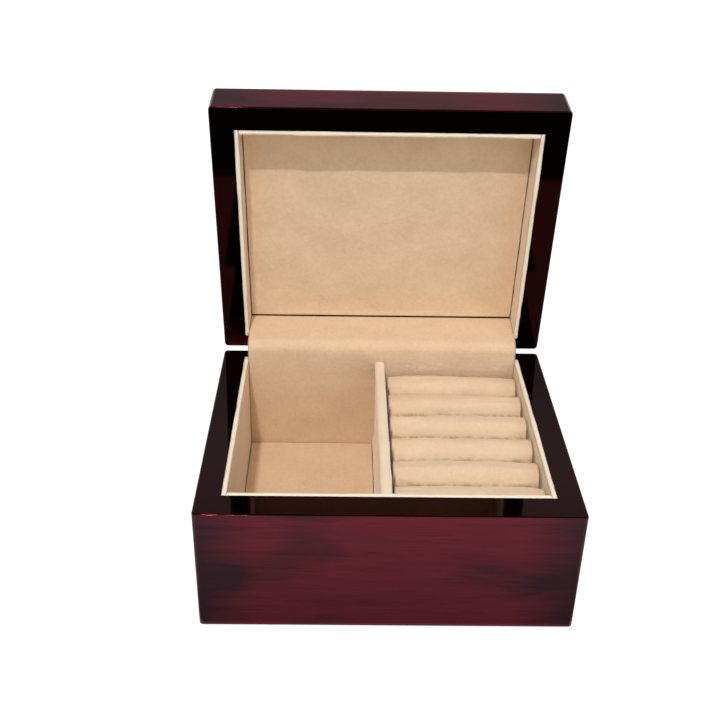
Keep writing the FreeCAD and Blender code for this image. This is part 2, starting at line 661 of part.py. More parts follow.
def lid_leaf(label, middle):
    """Leaf let into the lid: plate, its knuckles and the heels that stop the lid."""
    leaf = new_body(label, OPENED.format(x=middle))
    plate_high = f"({LID_RECESS} + Sizes.leaf_thickness)"
    plate_front = f"({HALF_DEPTH} - Sizes.leaf_depth)"
    heel_front = "(Sizes.stop_gap - Sizes.axis_setback)"
    heel = (opened_point(heel_front, "0"),
            opened_point(heel_front, "-Sizes.heel_length"),
            opened_point("Sizes.heel_back", "-Sizes.heel_length"),
            opened_point("Sizes.heel_back", "0"))
    section = new_sketch(leaf, label + "_section", "YZ_Plane")
    draw_rectangle(section, plate_front, LID_RECESS, HALF_DEPTH, plate_high)
    pad(leaf, section, "Sizes.leaf_length", label + "_plate", both_ways=True)
    clear_other_knuckles(leaf, f"{BARREL_START} - Sizes.knuckle_gap", BASE_KNUCKLES,
                         f"{KNUCKLE} + 2 * Sizes.knuckle_gap")
    add_knuckles(leaf, f"{BARREL_START} + {KNUCKLE} + Sizes.knuckle_gap", LID_KNUCKLES,
                 f"{KNUCKLE} - 2 * Sizes.knuckle_gap", LID_RECESS, plate_high,
                 "Sizes.pin_radius + Sizes.pin_play", heel)
    sink_screw_holes(leaf, LID_RECESS, upward=True)


def hinge_pin(label, middle):
    """Pin pressed into the base knuckles, on which the lid knuckles turn."""
    pin = new_body(label, f"placement(vector({middle}; 0; 0); rotation(vector(1; 0; 0); 0))")
    end = new_sketch(pin, label + "_end", "YZ_Plane")
    draw_circle(end, AXIS_Y, AXIS_Z, "Sizes.pin_radius")
    pad(pin, end, "Sizes.leaf_length", label + "_bar", both_ways=True)


def hinge_screws(label, face, driven_up, placement=None):
    """Four countersunk screws as one node, with their heads level with the face."""
    depth = "Sizes.leaf_thickness"
    shank_length = f"(Sizes.screw_length - {depth})"
    screws = []
    for middle in (f"-{HINGE_X}", HINGE_X):
        for step in ("-", "+"):
            stem = f"{label}_{len(screws) + 1}"
            x = f"{middle} {step} Sizes.screw_spacing / 2"
            y = f"{HALF_DEPTH} - Sizes.screw_inset"
            head = doc.addObject("Part::Cone", stem + "_head")
            head.setExpression("Radius1", HEAD_RADIUS if driven_up else "Sizes.screw_shank")
            head.setExpression("Radius2", "Sizes.screw_shank" if driven_up else HEAD_RADIUS)
            head.setExpression("Height", depth)
            place(head, x, y, face if driven_up else f"{face} - {depth}")
            shank = doc.addObject("Part::Cylinder", stem + "_shank")
            shank.setExpression("Radius", "Sizes.screw_shank")
            shank.setExpression("Height", shank_length)
            place(shank, x, y,
                  f"{face} + {depth}" if driven_up else f"{face} - Sizes.screw_length")
            screw = doc.addObject("Part::Fuse", stem)
            screw.Base = head
            screw.Tool = shank
            screws.append(screw)
    group = doc.addObject("Part::Compound", label)
    group.Label = label
    group.Links = screws
    if placement is not None:
        group.setExpression("Placement", placement)


for hand, hinge_middle in (("left", f"-{HINGE_X}"), ("right", HINGE_X)):
    base_leaf(f"hinge_base_leaf_{hand}", hinge_middle)
    lid_leaf(f"hinge_lid_leaf_{hand}", hinge_middle)
    hinge_pin(f"hinge_pin_{hand}", hinge_middle)
hinge_screws("hinge_base_screws", BASE_RECESS, driven_up=False)
hinge_screws("hinge_lid_screws", LID_RECESS, driven_up=True,
             placement=OPENED.format(x="0"))


# ---------------------------------------------------------------- velour cloth across the hinge
def swung(y, z):
    """Where a point of the closed lid lies once the lid is open."""
    ahead = f"({y} - {AXIS_Y})"
    above = f"({z} - {AXIS_Z})"
    return (f"{AXIS_Y} + {ahead} * cos(Sizes.open_angle) + {above} * sin(Sizes.open_angle)",
            f"{AXIS_Z} - {ahead} * sin(Sizes.open_angle) + {above} * cos(Sizes.open_angle)")


def back_cloth():
    """Cloth up the back of the base, taut across the open hinge and up the back of the lid."""
    ceiling = f"({RAIL_TOP} - Sizes.ceiling_pad_thickness)"
    cloth = new_body("hinge_cloth")
    section = new_sketch(cloth, "cloth_section", "YZ_Plane", f"-{LINED_X}")
    draw_outline(section, (
        (CARD_FACE, FLOOR), (CARD_FACE, BASE_RECESS),
        swung(CARD_FACE, LID_RECESS), swung(CARD_FACE, ceiling),
        swung(LINED_BACK, ceiling), swung(LINED_BACK, LID_RIM),
        (LINED_BACK, BASE_RIM), (LINED_BACK, FLOOR)))
    pad(cloth, section, f"2 * {LINED_X}", "cloth_sheet")


back_cloth()
doc.recompute()


# ---------------------------------------------------------------- checks and STEP files
def is_piece(item):
    """True for the objects that are pieces of the box, each written to a file of its own."""
    return item.TypeId in ("PartDesign::Body", "Part::Compound")


for item in doc.Objects:
    for state in ("Invalid", "Error"):
        if state in item.State:
            raise RuntimeError(f"{item.Label} is in state {state}")

pieces = [item for item in doc.Objects if is_piece(item)]
os.makedirs("parts", exist_ok=True)
for piece in pieces:
    if piece.Shape.isNull() or not piece.Shape.isValid():
        raise RuntimeError(f"{piece.Label} has no valid shape")
for piece in pieces:
    piece.Shape.exportStep(os.path.join("parts", piece.Label + ".step"))
    print(f"{piece.Label:26s} solids {len(piece.Shape.Solids)}  volume {piece.Shape.Volume:10.1f}")
print(len(pieces), "pieces")
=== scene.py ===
"""Studio scene of a lacquered ring box with velour linings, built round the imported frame.

Every length is in metres, and every place is in the frame's own axes: X to the right, Y to
the back, Z up, with the origin under the middle of the base. The pieces of the lid are
worked out shut, as they lie on the base, and are then turned about the hinge axis to the
angle at which the lid rests open.
"""

import json
import logging
import math
from dataclasses import dataclass, replace
from enum import Enum

import bmesh
import bpy
import numpy as np
from mathutils import Matrix, Vector

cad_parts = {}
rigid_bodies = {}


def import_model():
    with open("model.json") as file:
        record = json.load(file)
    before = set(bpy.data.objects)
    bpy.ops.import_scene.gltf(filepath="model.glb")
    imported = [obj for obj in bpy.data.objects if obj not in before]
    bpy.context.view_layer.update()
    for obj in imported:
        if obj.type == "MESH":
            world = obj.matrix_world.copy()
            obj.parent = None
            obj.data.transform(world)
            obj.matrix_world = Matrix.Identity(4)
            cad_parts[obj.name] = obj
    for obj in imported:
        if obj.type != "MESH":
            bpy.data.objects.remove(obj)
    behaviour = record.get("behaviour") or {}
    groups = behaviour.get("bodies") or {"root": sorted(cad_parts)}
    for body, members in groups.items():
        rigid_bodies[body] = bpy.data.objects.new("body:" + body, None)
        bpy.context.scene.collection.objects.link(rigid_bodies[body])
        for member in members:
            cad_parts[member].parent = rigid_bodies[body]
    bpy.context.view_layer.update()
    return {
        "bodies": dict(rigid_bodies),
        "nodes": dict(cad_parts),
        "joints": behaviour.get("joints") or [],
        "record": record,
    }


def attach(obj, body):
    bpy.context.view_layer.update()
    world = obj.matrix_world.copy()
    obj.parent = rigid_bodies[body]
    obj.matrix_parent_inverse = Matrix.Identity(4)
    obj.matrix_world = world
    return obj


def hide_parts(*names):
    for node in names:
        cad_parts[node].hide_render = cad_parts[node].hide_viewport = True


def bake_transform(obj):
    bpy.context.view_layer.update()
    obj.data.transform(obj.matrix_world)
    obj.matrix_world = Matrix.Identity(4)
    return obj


LOG = logging.getLogger("ring_box")
MM = 0.001

Triple = tuple[float, float, float]             # a place, a scale or three angles
Colour = tuple[float, float, float]             # red, green and blue, linear
Rectangle = tuple[float, float, float, float]   # x and y of one corner and of the other
Stops = tuple[tuple[float, float], ...]         # (degrees above the horizon, level)
Socket = bpy.types.NodeSocket

PLANE_STEPS = 200           # two normals are alike if they round alike on this scale
PLANE_GAP = 0.05 * MM       # and two planes if they lie no further apart than about this
MERGE_GAP = 0.001 * MM      # vertices closer than this are one


class Part(Enum):
    """The two bodies that a piece can ride on."""

    BASE = "base"
    LID = "lid"


class Slot(Enum):
    """The record's material slots."""

    WOOD = "lacquered_wood"
    BOARD = "bottom_board"
    VELOUR = "velour"
    FELT = "felt"
    CARD = "card"
    BRASS = "brass"


class Trait(Enum):
    """Values stored at the vertices of a piece, which its finish reads."""

    PLACE = "pattern_place"    # where the vertex lies in the pattern of its finish
    RIM = "rim_share"          # 1 where the lacquer is nearly black: along the rims, over part of the lid's front rail, and as a painted shade line round the foot of the base
    WEAR = "wear_share"        # 1 where the pile is pale: partly wear, partly painted light on bends, edges and the cloth over the rolls
    SEAM = "seam_share"        # 1 where shade is painted: in creases, gaps and along edges
    CREPE = "crepe_share"      # 1 where the cloth is finely crinkled


# ------------------------------------------------------------------ places in the frame
@dataclass(frozen=True)
class Span:
    """A box between its lowest and highest corner."""

    low: np.ndarray
    high: np.ndarray

    @property
    def middle(self) -> np.ndarray:
        """Point halfway between the two corners."""
        return (self.low + self.high) / 2

    @property
    def size(self) -> np.ndarray:
        """Length of the box along each axis."""
        return self.high - self.low


class BoxFrame:
    """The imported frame: its nodes, and the hinge about which the lid turns."""

    def __init__(self, frame: dict) -> None:
        """Read the hinge and the nodes.
        """
        hinge = frame["joints"][0]
        self.nodes = frame["nodes"]
        self.lid_nodes = set(frame["record"]["behaviour"]["bodies"][Part.LID.value])
        self.axis_y = hinge["pos_m"][1]
        self.axis_z = hinge["pos_m"][2]
        self.open_angle = math.radians(hinge["range_deg"][1])
        self.base_rim = self.span("base_front_wall").high[2]
        self.lid_rim = self.span("lid_front_rail").low[2]

    def turned(self, points: np.ndarray, angle: float) -> np.ndarray:
        """Points turned about the hinge axis.

        With a and b the distances behind and above the axis, the turned point lies
        a cos(angle) - b sin(angle) behind it and a sin(angle) + b cos(angle) above it.

        Args:
            points: array whose last axis is x, y, z.
            angle: turn in radians, positive from Y towards Z.

        Returns:
            An array of the same shape.
        """
        behind = points[..., 1] - self.axis_y
        above = points[..., 2] - self.axis_z
        turned = np.array(points, float)
        turned[..., 1] = self.axis_y + behind * math.cos(angle) - above * math.sin(angle)
        turned[..., 2] = self.axis_z + behind * math.sin(angle) + above * math.cos(angle)
        return turned

    def opened(self, points: np.ndarray) -> np.ndarray:
        """Points of the shut lid, where they lie once the lid is open."""
        return self.turned(points, -self.open_angle)

    def shut(self, points: np.ndarray) -> np.ndarray:
        """Points of the open lid, where they lie once the lid is shut."""
        return self.turned(points, self.open_angle)

    def vertices(self, node: str, mesh: bpy.types.Mesh | None = None) -> np.ndarray:
        """Vertices of a node, those of the lid as they lie when it is shut.

        Args:
            node: name of the node.
            mesh: a copy of its mesh to read instead.

        Returns:
            An array with one row for each vertex.
        """
        points = read_points(mesh or self.nodes[node].data)
        return self.shut(points) if node in self.lid_nodes else points

    def span(self, node: str) -> Span:
        """Box of a node, that of a lid node as it lies when the lid is shut."""
        points = self.vertices(node)
        return Span(points.min(axis=0), points.max(axis=0))


# ------------------------------------------------------------------ unevenness
@dataclass(frozen=True)
class Undulation:
    """Gentle unevenness, as a sum of plane waves with seeded directions and phases."""

    height: float
    wavelength: Triple
    seed: int
    waves: int = 20

    def numbered(self, number: int) -> "Undulation":
        """The same unevenness for another piece of a row."""
        return replace(self, seed=self.seed + number)

    def at(self, points: np.ndarray) -> np.ndarray:
        """Height at each point.

        height * sqrt(2 / waves) * sum of sin(2 pi frequency . point + phase), where each
        frequency is a normal draw over the wavelength, so height is the usual deviation.

        Args:
            points: array whose last axis is x, y, z.

        Returns:
            An array of heights, without that last axis.
        """
        random = np.random.default_rng(self.seed)
        frequency = random.normal(size=(self.waves, 3)) / np.array(self.wavelength)
        phase = random.uniform(0, 2 * math.pi, self.waves)
        waves = np.sin(2 * math.pi * points @ frequency.T + phase)
        return self.height * math.sqrt(2 / self.waves) * waves.sum(axis=-1)


def creases(points: np.ndarray, wavelength: Triple, seed: int, width: float) -> np.ndarray:
    """Thin winding creases: exp(-(u / width)^2), where u is an unevenness of height 1.

    Args:
        points: array whose last axis is x, y, z.
        wavelength: spacing of the creases along each axis.
        seed: seed of the unevenness.
        width: share of the spacing that a crease takes.

    Returns:
        An array of depths from 0 to 1, without that last axis.
    """
    return np.exp(-(Undulation(1.0, wavelength, seed).at(points) / width) ** 2)


def smooth_step(values: np.ndarray, start: float, end: float) -> np.ndarray:
    """0 before start, 1 after end and 3 t^2 - 2 t^3 between them."""
    share = np.clip((values - start) / (end - start), 0, 1)
    return share * share * (3 - 2 * share)


# ------------------------------------------------------------------ meshes from arrays
def read_points(mesh: bpy.types.Mesh) -> np.ndarray:
    """Vertices of a mesh.

    Args:
        mesh: the mesh.

    Returns:
        An array with one row for each vertex.
    """
    flat = np.empty(len(mesh.vertices) * 3, np.float32)
    mesh.vertices.foreach_get("co", flat)
    return flat.reshape(-1, 3).astype(float)


def write_trait(mesh: bpy.types.Mesh, trait: Trait, values: np.ndarray) -> None:
    """Store one value or place for each vertex of a mesh.

    Args:
        mesh: the mesh.
        trait: what is stored.
        values: one number, or one row of three, for each vertex.
    """
    kind, key = ("FLOAT_VECTOR", "vector") if trait is Trait.PLACE else ("FLOAT", "value")
    attribute = mesh.attributes.new(trait.value, kind, "POINT")
    attribute.data.foreach_set(key, np.asarray(values, np.float32).ravel())


def signed_volume(mesh: bpy.types.Mesh) -> float:
    """Volume inside a mesh: a sixth of the sum of a . (b x c) over its triangles.

    Args:
        mesh: the mesh.

    Returns:
        The volume, negative where the faces point inwards.
    """
    mesh.calc_loop_triangles()
    corners = np.empty(len(mesh.loop_triangles) * 3, np.int32)
    mesh.loop_triangles.foreach_get("vertices", corners)
    first, second, third = (read_points(mesh)[corners[step::3]] for step in range(3))
    return float((first * np.cross(second, third)).sum() / 6)


def new_piece(name: str, points: np.ndarray, faces: list, traits: dict[Trait, np.ndarray],
              sharp_angle: float | None = None) -> bpy.types.Object:
    """A mesh object at the origin, smooth shaded, its faces outwards.

    Args:
        name: name of the piece.
        points: vertices, one row each.
        faces: vertex indices of each face.
        traits: values at the vertices, for the finish.
        sharp_angle: edges that turn by more than this angle stay crisp; None for none.

    Returns:
        The new object, linked to the scene.
    """
    mesh = bpy.data.meshes.new(name)
    mesh.from_pydata(points.tolist(), [], faces)
    mesh.update()
    if signed_volume(mesh) < 0:
        mesh.flip_normals()
    mesh.polygons.foreach_set("use_smooth", [True] * len(mesh.polygons))
    if sharp_angle is not None:
        mesh.set_sharp_from_angle(angle=sharp_angle)
    for trait, values in traits.items():
        write_trait(mesh, trait, values)
    piece = bpy.data.objects.new(name, mesh)
    bpy.context.scene.collection.objects.link(piece)
    return piece


def grid_faces(index: np.ndarray) -> list:
    """Four-sided faces between neighbours of a grid of vertex indices."""
    corners = (index[:-1, :-1], index[:-1, 1:], index[1:, 1:], index[1:, :-1])
    return np.stack(corners, axis=-1).reshape(-1, 4).tolist()


def tube(rings: np.ndarray) -> tuple[np.ndarray, list]:
    """Closed tube through rings of points, with a face over each end.

    Args:
        rings: array of stations by points by 3.

    Returns:
        The vertices, one row each, and the vertex indices of each face.
    """
    index = np.arange(rings[..., 0].size).reshape(rings.shape[:2])
    closed = np.concatenate([index, index[:, :1]], axis=1)
    ends = [index[0][::-1].tolist(), index[-1].tolist()]
    return rings.reshape(-1, 3), grid_faces(closed) + ends


def slab(x: np.ndarray, y: np.ndarray, first: np.ndarray | float,
         second: np.ndarray | float) -> tuple[np.ndarray, list]:
    """Closed slab between two heights over one grid.

    Args:
        x: grid of x.
        y: grid of y.
        first: height of the first side, everywhere or at each point of the grid.
        second: height of the second side.

    Returns:
        The vertices, those of the first side first, and the vertex indices of the faces of
        both sides and of the wall between their borders.
    """
    sides = [np.stack([x, y, np.broadcast_to(height, x.shape)], axis=-1).reshape(-1, 3)
             for height in (first, second)]
    index = np.arange(x.size).reshape(x.shape)
    border = np.concatenate([index[:-1, 0], index[-1, :-1], index[:0:-1, -1], index[0, :0:-1]])
    border = np.append(border, border[0])
    wall = grid_faces(np.stack([border, border + x.size], axis=0))
    return np.concatenate(sides), grid_faces(index[::-1]) + grid_faces(index + x.size) + wall


def spaced(start: float, end: float, spacing: float) -> np.ndarray:
    """Evenly spaced values from start to end, about spacing apart."""
    count = max(2, int(round(abs(end - start) / spacing)) + 1)
    return np.linspace(start, end, count)


def length_along(line: np.ndarray) -> np.ndarray:
    """Length of a line of points up to each of them."""
    return np.concatenate([[0.0], np.cumsum(np.linalg.norm(np.diff(line, axis=0), axis=1))])


def evened(line: np.ndarray, spacing: float) -> np.ndarray:
    """Points along a line, about spacing apart.

    Args:
        line: points of the line, one row of two each.
        spacing: distance between the new points.

    Returns:
        The new points, from the line's start to its end.
    """
    reach = length_along(line)
    even = spaced(0, reach[-1], spacing)
    return np.stack([np.interp(even, reach, line[:, axis]) for axis in range(2)], axis=1)


def eased_stations(start: float, end: float, spacing: float, radius: float,
                   steps: int = 6) -> tuple[np.ndarray, np.ndarray]:
    """Stations along a length whose ends are rounded.

    At the angle q of a quarter circle, a station lies radius (1 - cos q) inside the end
    and its outline is drawn in by radius (1 - sin q).

    Args:
        start: first end.
        end: last end.
        spacing: distance between the stations of the middle.
        radius: radius of the rounding.
        steps: stations in each rounding.

    Returns:
        The places of the stations, and how far each outline is drawn in.
    """
    angle = np.linspace(0, math.pi / 2, steps + 1)[:-1]
    near = radius * (1 - np.cos(angle))
    drawn_in = radius * (1 - np.sin(angle))
    middle = spaced(start + radius, end - radius, spacing)
    places = np.concatenate([start + near, middle, end - near[::-1]])
    return places, np.concatenate([drawn_in, np.zeros(len(middle)), drawn_in[::-1]])


def outline_normals(outline: np.ndarray) -> np.ndarray:
    """Outward normals of an outline, each square to the chord between the neighbours.

    Args:
        outline: points of a closed anticlockwise outline, one row of two each.

    Returns:
        A normal of length 1 for each point.
    """
    chord = np.roll(outline, -1, axis=0) - np.roll(outline, 1, axis=0)
    normal = np.stack([chord[:, 1], -chord[:, 0]], axis=1)
    return normal / np.linalg.norm(normal, axis=1, keepdims=True)


def arch(middle: float, half_width: float, top: float, foot: float, rise: float,
         spacing: float, steps: int = 60) -> np.ndarray:
    """Closed outline of an upright bar with an arched top.

    The top is half an ellipse: across = middle + half_width cos q and
    up = top - rise + rise sin q, for q from 0 to a half turn.

    Args:
        middle: middle of the bar, across.
        half_width: half its width.
        top: height of its top.
        foot: height of its foot.
        rise: height of the arch.
        spacing: distance between the points.
        steps: steps in which the arch is worked out before it is divided evenly.

    Returns:
        Points of (across, up), anticlockwise.
    """
    turn = np.linspace(0, math.pi, steps + 1)
    curve = np.stack([middle + half_width * np.cos(turn),
                      top - rise + rise * np.sin(turn)], axis=1)
    left, right = middle - half_width, middle + half_width
    down = evened(np.array([curve[-1], [left, foot]]), spacing)
    level = evened(np.array([[left, foot], [right, foot]]), spacing)
    up = evened(np.array([[right, foot], curve[0]]), spacing)
    return np.concatenate([evened(curve, spacing)[:-1], down[:-1], level[:-1], up[:-1]])


# ------------------------------------------------------------------ cloth simulation
@dataclass(frozen=True)
class Stuffing:
    """How a wrapped pad fills out, as cloth that is blown up and held where it is glued."""

    pressure: float
    slack: float            # share by which the cloth is longer than the form under it
    cap: float              # furthest that a point moves
    steps: int = 18
    enlarged: float = 12.0  # the cloth is worked out this many times as large
    least: float = 1e-9     # a shorter move counts as this long
    group: str = "glued"

    def filled(self, points: np.ndarray, faces: list, held: np.ndarray) -> np.ndarray:
        """Points of a skin once it has filled out.

        Args:
            points: vertices of the closed skin.
            faces: its faces.
            held: true for each vertex that stays where it is.

        Returns:
            The moved vertices.
        """
        mesh = bpy.data.meshes.new("skin")
        mesh.from_pydata((points * self.enlarged).tolist(), [], faces)
        skin = bpy.data.objects.new("skin", mesh)
        bpy.context.scene.collection.objects.link(skin)
        skin.vertex_groups.new(name=self.group).add(np.flatnonzero(held).tolist(), 1.0, "REPLACE")
        cloth = skin.modifiers.new("cloth", "CLOTH")
        cloth.settings.vertex_group_mass = self.group
        cloth.settings.use_pressure = True
        cloth.settings.uniform_pressure_force = self.pressure
        cloth.settings.shrink_min = -self.slack
        cloth.settings.effector_weights.gravity = 0.0
        cloth.point_cache.frame_end = self.steps
        for step in range(1, self.steps + 1):
            bpy.context.scene.frame_set(step)
        shaped = skin.evaluated_get(bpy.context.evaluated_depsgraph_get())
        moved = read_points(shaped.to_mesh()) / self.enlarged - points
        shaped.to_mesh_clear()
        bpy.data.objects.remove(skin)
        bpy.data.meshes.remove(mesh)
        bpy.context.scene.frame_set(1)
        reach = np.linalg.norm(moved, axis=1, keepdims=True)
        return points + moved * np.minimum(1, self.cap / np.maximum(reach, self.least))


# ------------------------------------------------------------------ finishes
@dataclass(frozen=True)
class Grain:
    """A layer of noise in a finish: its form, the share it takes and the relief it gives."""

    scale: float                # how fine it is
    detail: float               # how many finer layers it has
    roughness: float = 0.5      # how strong they are
    bent: float = 0.0           # how far it is bent
    stretch: Triple = (1.0, 1.0, 1.0)
    turn: Triple = (0.0, 0.0, 0.0)          # degrees
    band: tuple[float, float] = (0.3, 0.7)  # noise at which it takes nothing, and its most
    most: float = 1.0
    depth: float = 0.0          # depth of its relief
    strength: float = 1.0       # how strongly the relief shows


class Wiring:
    """A node tree under construction: its nodes and the links between them."""

    def __init__(self, tree: bpy.types.NodeTree) -> None:
        """Take up a tree."""
        self.tree = tree

    def add(self, kind: str, **settings: object) -> bpy.types.Node:
        """Add a node.

        Args:
            kind: type of the node.
            settings: its properties.

        Returns:
            The new node.
        """
        node = self.tree.nodes.new(kind)
        for key, value in settings.items():
            setattr(node, key, value)
        return node

    def wire(self, source: Socket, target: Socket) -> None:
        """Link two sockets."""
        self.tree.links.new(source, target)

    def spread(self, value: Socket, low: float, high: float, to_low: float = 0.0,
               to_high: float = 1.0) -> Socket:
        """A value stretched from one range to another and clamped there.

        Args:
            value: the value.
            low: start of its range.
            high: end of its range.
            to_low: what low becomes.
            to_high: what high becomes.

        Returns:
            Socket of the result.
        """
        node = self.add("ShaderNodeMapRange")
        for key, number in (("From Min", low), ("From Max", high),
                            ("To Min", to_low), ("To Max", to_high)):
            node.inputs[key].default_value = number
        self.wire(value, node.inputs["Value"])
        return node.outputs["Result"]

    def combine(self, operation: str, first: Socket, second: Socket | float) -> Socket:
        """Arithmetic of two values.

        Args:
            operation: what is done, as the Math node names it.
            first: first value.
            second: second value, as a socket or a number.

        Returns:
            Socket of the result.
        """
        node = self.add("ShaderNodeMath", operation=operation)
        self.wire(first, node.inputs[0])
        if isinstance(second, float):
            node.inputs[1].default_value = second
        else:
            self.wire(second, node.inputs[1])
        return node.outputs["Value"]

    def mix(self, share: Socket, first: Colour | Socket, second: Colour | Socket) -> Socket:
        """A colour between two colours.

        Args:
            share: 0 for the first colour, 1 for the second.
            first: first colour.
            second: second colour.

        Returns:
            Socket of the colour.
        """
        node = self.add("ShaderNodeMix", data_type="RGBA")
        self.wire(share, node.inputs["Factor"])
        for key, colour in ((6, first), (7, second)):   # the node's two inputs for colours
            if isinstance(colour, tuple):
                node.inputs[key].default_value = (*colour, 1.0)
            else:
                self.wire(colour, node.inputs[key])
        return node.outputs[2]

    def seen_rays(self) -> Socket:
        """1 for the rays of the camera and of polished and clear surfaces.

        Returns:
            Socket of the value.
        """
        rays = self.add("ShaderNodeLightPath").outputs
        seen = self.combine("MAXIMUM", rays["Is Camera Ray"], rays["Is Glossy Ray"])
        return self.combine("MAXIMUM", seen, rays["Is Transmission Ray"])


class Finish(Wiring):
    """A material under construction."""

    def __init__(self, name: str) -> None:
        """Start a material with one Principled shader.

        Args:
            name: name of the material.
        """
        self.material = bpy.data.materials.new(name)
        self.material.use_nodes = True
        super().__init__(self.material.node_tree)
        self.shader = next(node for node in self.tree.nodes if node.type == "BSDF_PRINCIPLED")

    def trait(self, trait: Trait) -> Socket:
        """A number stored at the vertices, 0 on pieces without it."""
        return self.add("ShaderNodeAttribute", attribute_name=trait.value).outputs["Fac"]

    def place(self, stretch: Triple = (1.0, 1.0, 1.0), turn: Triple = (0.0, 0.0, 0.0)) -> Socket:
        """The pattern's own coordinates.

        Args:
            stretch: scale along X, Y and Z.
            turn: turn about X, Y and Z in degrees.

        Returns:
            Socket of the place.
        """
        attribute = self.add("ShaderNodeAttribute", attribute_name=Trait.PLACE.value)
        mapping = self.add("ShaderNodeMapping")
        mapping.inputs["Rotation"].default_value = tuple(math.radians(step) for step in turn)
        mapping.inputs["Scale"].default_value = stretch
        self.wire(attribute.outputs["Vector"], mapping.inputs["Vector"])
        return mapping.outputs["Vector"]

    def noise(self, grain: Grain) -> Socket:
        """Noise of a layer, between 0 and 1.

        Args:
            grain: the layer.

        Returns:
            Socket of the noise.
        """
        node = self.add("ShaderNodeTexNoise")
        for key, number in (("Scale", grain.scale), ("Detail", grain.detail),
                            ("Roughness", grain.roughness), ("Distortion", grain.bent)):
            node.inputs[key].default_value = number
        self.wire(self.place(grain.stretch, grain.turn), node.inputs["Vector"])
        return node.outputs["Fac"]

    def share(self, noise: Socket, grain: Grain) -> Socket:
        """Share that a layer takes where its noise has this value."""
        return self.spread(noise, *grain.band, 0.0, grain.most)

    def bump(self, height: Socket, grain: Grain, under: Socket | None = None) -> Socket:
        """Surface relief.

        Args:
            height: the relief, from 0 to 1.
            grain: the layer that gives its depth and strength.
            under: the relief on which it lies.

        Returns:
            Socket of the normal.
        """
        node = self.add("ShaderNodeBump")
        node.inputs["Strength"].default_value = grain.strength
        node.inputs["Distance"].default_value = grain.depth
        self.wire(height, node.inputs["Height"])
        if under is not None:
            self.wire(under, node.inputs["Normal"])
        return node.outputs["Normal"]

    def set(self, **numbers: float | tuple) -> None:
        """Set sockets of the shader, named with underscores for spaces."""
        for key, value in numbers.items():
            self.shader.inputs[key.replace("_", " ")].default_value = value

    def colour_and_relief(self, colour: Socket, relief: Socket) -> None:
        """Give the shader its colour and its relief."""
        self.wire(colour, self.shader.inputs["Base Color"])
        self.wire(relief, self.shader.inputs["Normal"])


@dataclass(frozen=True)
class Velour:
    """Short cream pile with a mottled nap, pale with wear and painted light on bends, and dark
    with painted shade in creases, gaps and edges.
    """

    name: str
    lit: Colour = (0.83, 0.61, 0.405)
    shaded: Colour = (0.70, 0.49, 0.31)
    # pale colour of the fibres, of wear and of the painted light on bends and edges
    pale_light_and_wear: Colour = (0.93, 0.83, 0.67)
    # colour of the painted shade in creases, gaps and along edges
    painted_shade: Colour = (0.085, 0.030, 0.012)
    speck: Colour = (0.30, 0.17, 0.09)
    blotches: Grain = Grain(55.0, 3.0, 0.6, most=0.55)
    grain: Grain = Grain(520.0, 4.0, 0.6, 0.4, band=(0.32, 0.68), most=0.45,
                         depth=0.45 * MM, strength=0.8)
    fibres: Grain = Grain(2400.0, 2.0, 0.6, band=(0.35, 0.65), most=0.14,
                          depth=0.10 * MM, strength=0.6)
    crinkle: Grain = Grain(560.0, 3.0, 0.55, 1.2, (0.5, 1.0, 1.0), depth=0.3 * MM, strength=0.6)
    crinkle_width: float = 0.05     # a crinkle is over this far from its middle
    speck_cell: float = 26.0        # cells for each metre, each with one speck
    speck_size: float = 0.014       # as a share of the cell
    speck_share: float = 0.7

    def specks(self, finish: Finish) -> Socket:
        """Scattered round specks: full up to half the size from a cell's point, none past it.

        Args:
            finish: the material.

        Returns:
            Socket of the share that the specks take.
        """
        cells = finish.add("ShaderNodeTexVoronoi")
        cells.inputs["Scale"].default_value = self.speck_cell
        finish.wire(finish.place(), cells.inputs["Vector"])
        return finish.spread(cells.outputs["Distance"], self.speck_size / 2, self.speck_size,
                             self.speck_share, 0.0)

    def crinkles(self, finish: Finish) -> Socket:
        """Relief of the crepe: low on the lines where the noise is a half.

        Args:
            finish: the material.

        Returns:
            Socket of the relief.
        """
        away = finish.combine("SUBTRACT", finish.noise(self.crinkle), 0.5)
        lines = finish.spread(finish.combine("ABSOLUTE", away, 0.0), 0.0, self.crinkle_width)
        return finish.combine("MULTIPLY", lines, finish.trait(Trait.CREPE))

    def build(self) -> bpy.types.Material:
        """Make the material: blotches and grain tint the pile, grain and fibres raise it.

        Returns:
            The material.
        """
        finish = Finish(self.name)
        grain, fibres = finish.noise(self.grain), finish.noise(self.fibres)
        tone = finish.combine("ADD", finish.share(finish.noise(self.blotches), self.blotches),
                              finish.share(grain, self.grain))
        colour = finish.mix(tone, self.shaded, self.lit)
        for share, towards in ((finish.share(fibres, self.fibres), self.pale_light_and_wear),
                               (self.specks(finish), self.speck),
                               # wear and painted light make the pile pale
                               (finish.trait(Trait.WEAR), self.pale_light_and_wear),
                               # painted shade darkens creases, gaps and edges
                               (finish.trait(Trait.SEAM), self.painted_shade)):
            colour = finish.mix(share, colour, towards)
        relief = finish.bump(self.crinkles(finish), self.crinkle)
        relief = finish.bump(grain, self.grain, relief)
        relief = finish.bump(fibres, self.fibres, relief)
        finish.colour_and_relief(colour, relief)
        finish.set(Roughness=0.95, Specular_IOR_Level=0.15, Sheen_Weight=0.6,
                   Sheen_Roughness=0.45, Sheen_Tint=(1.0, 0.92, 0.80, 1.0))
        return finish.material


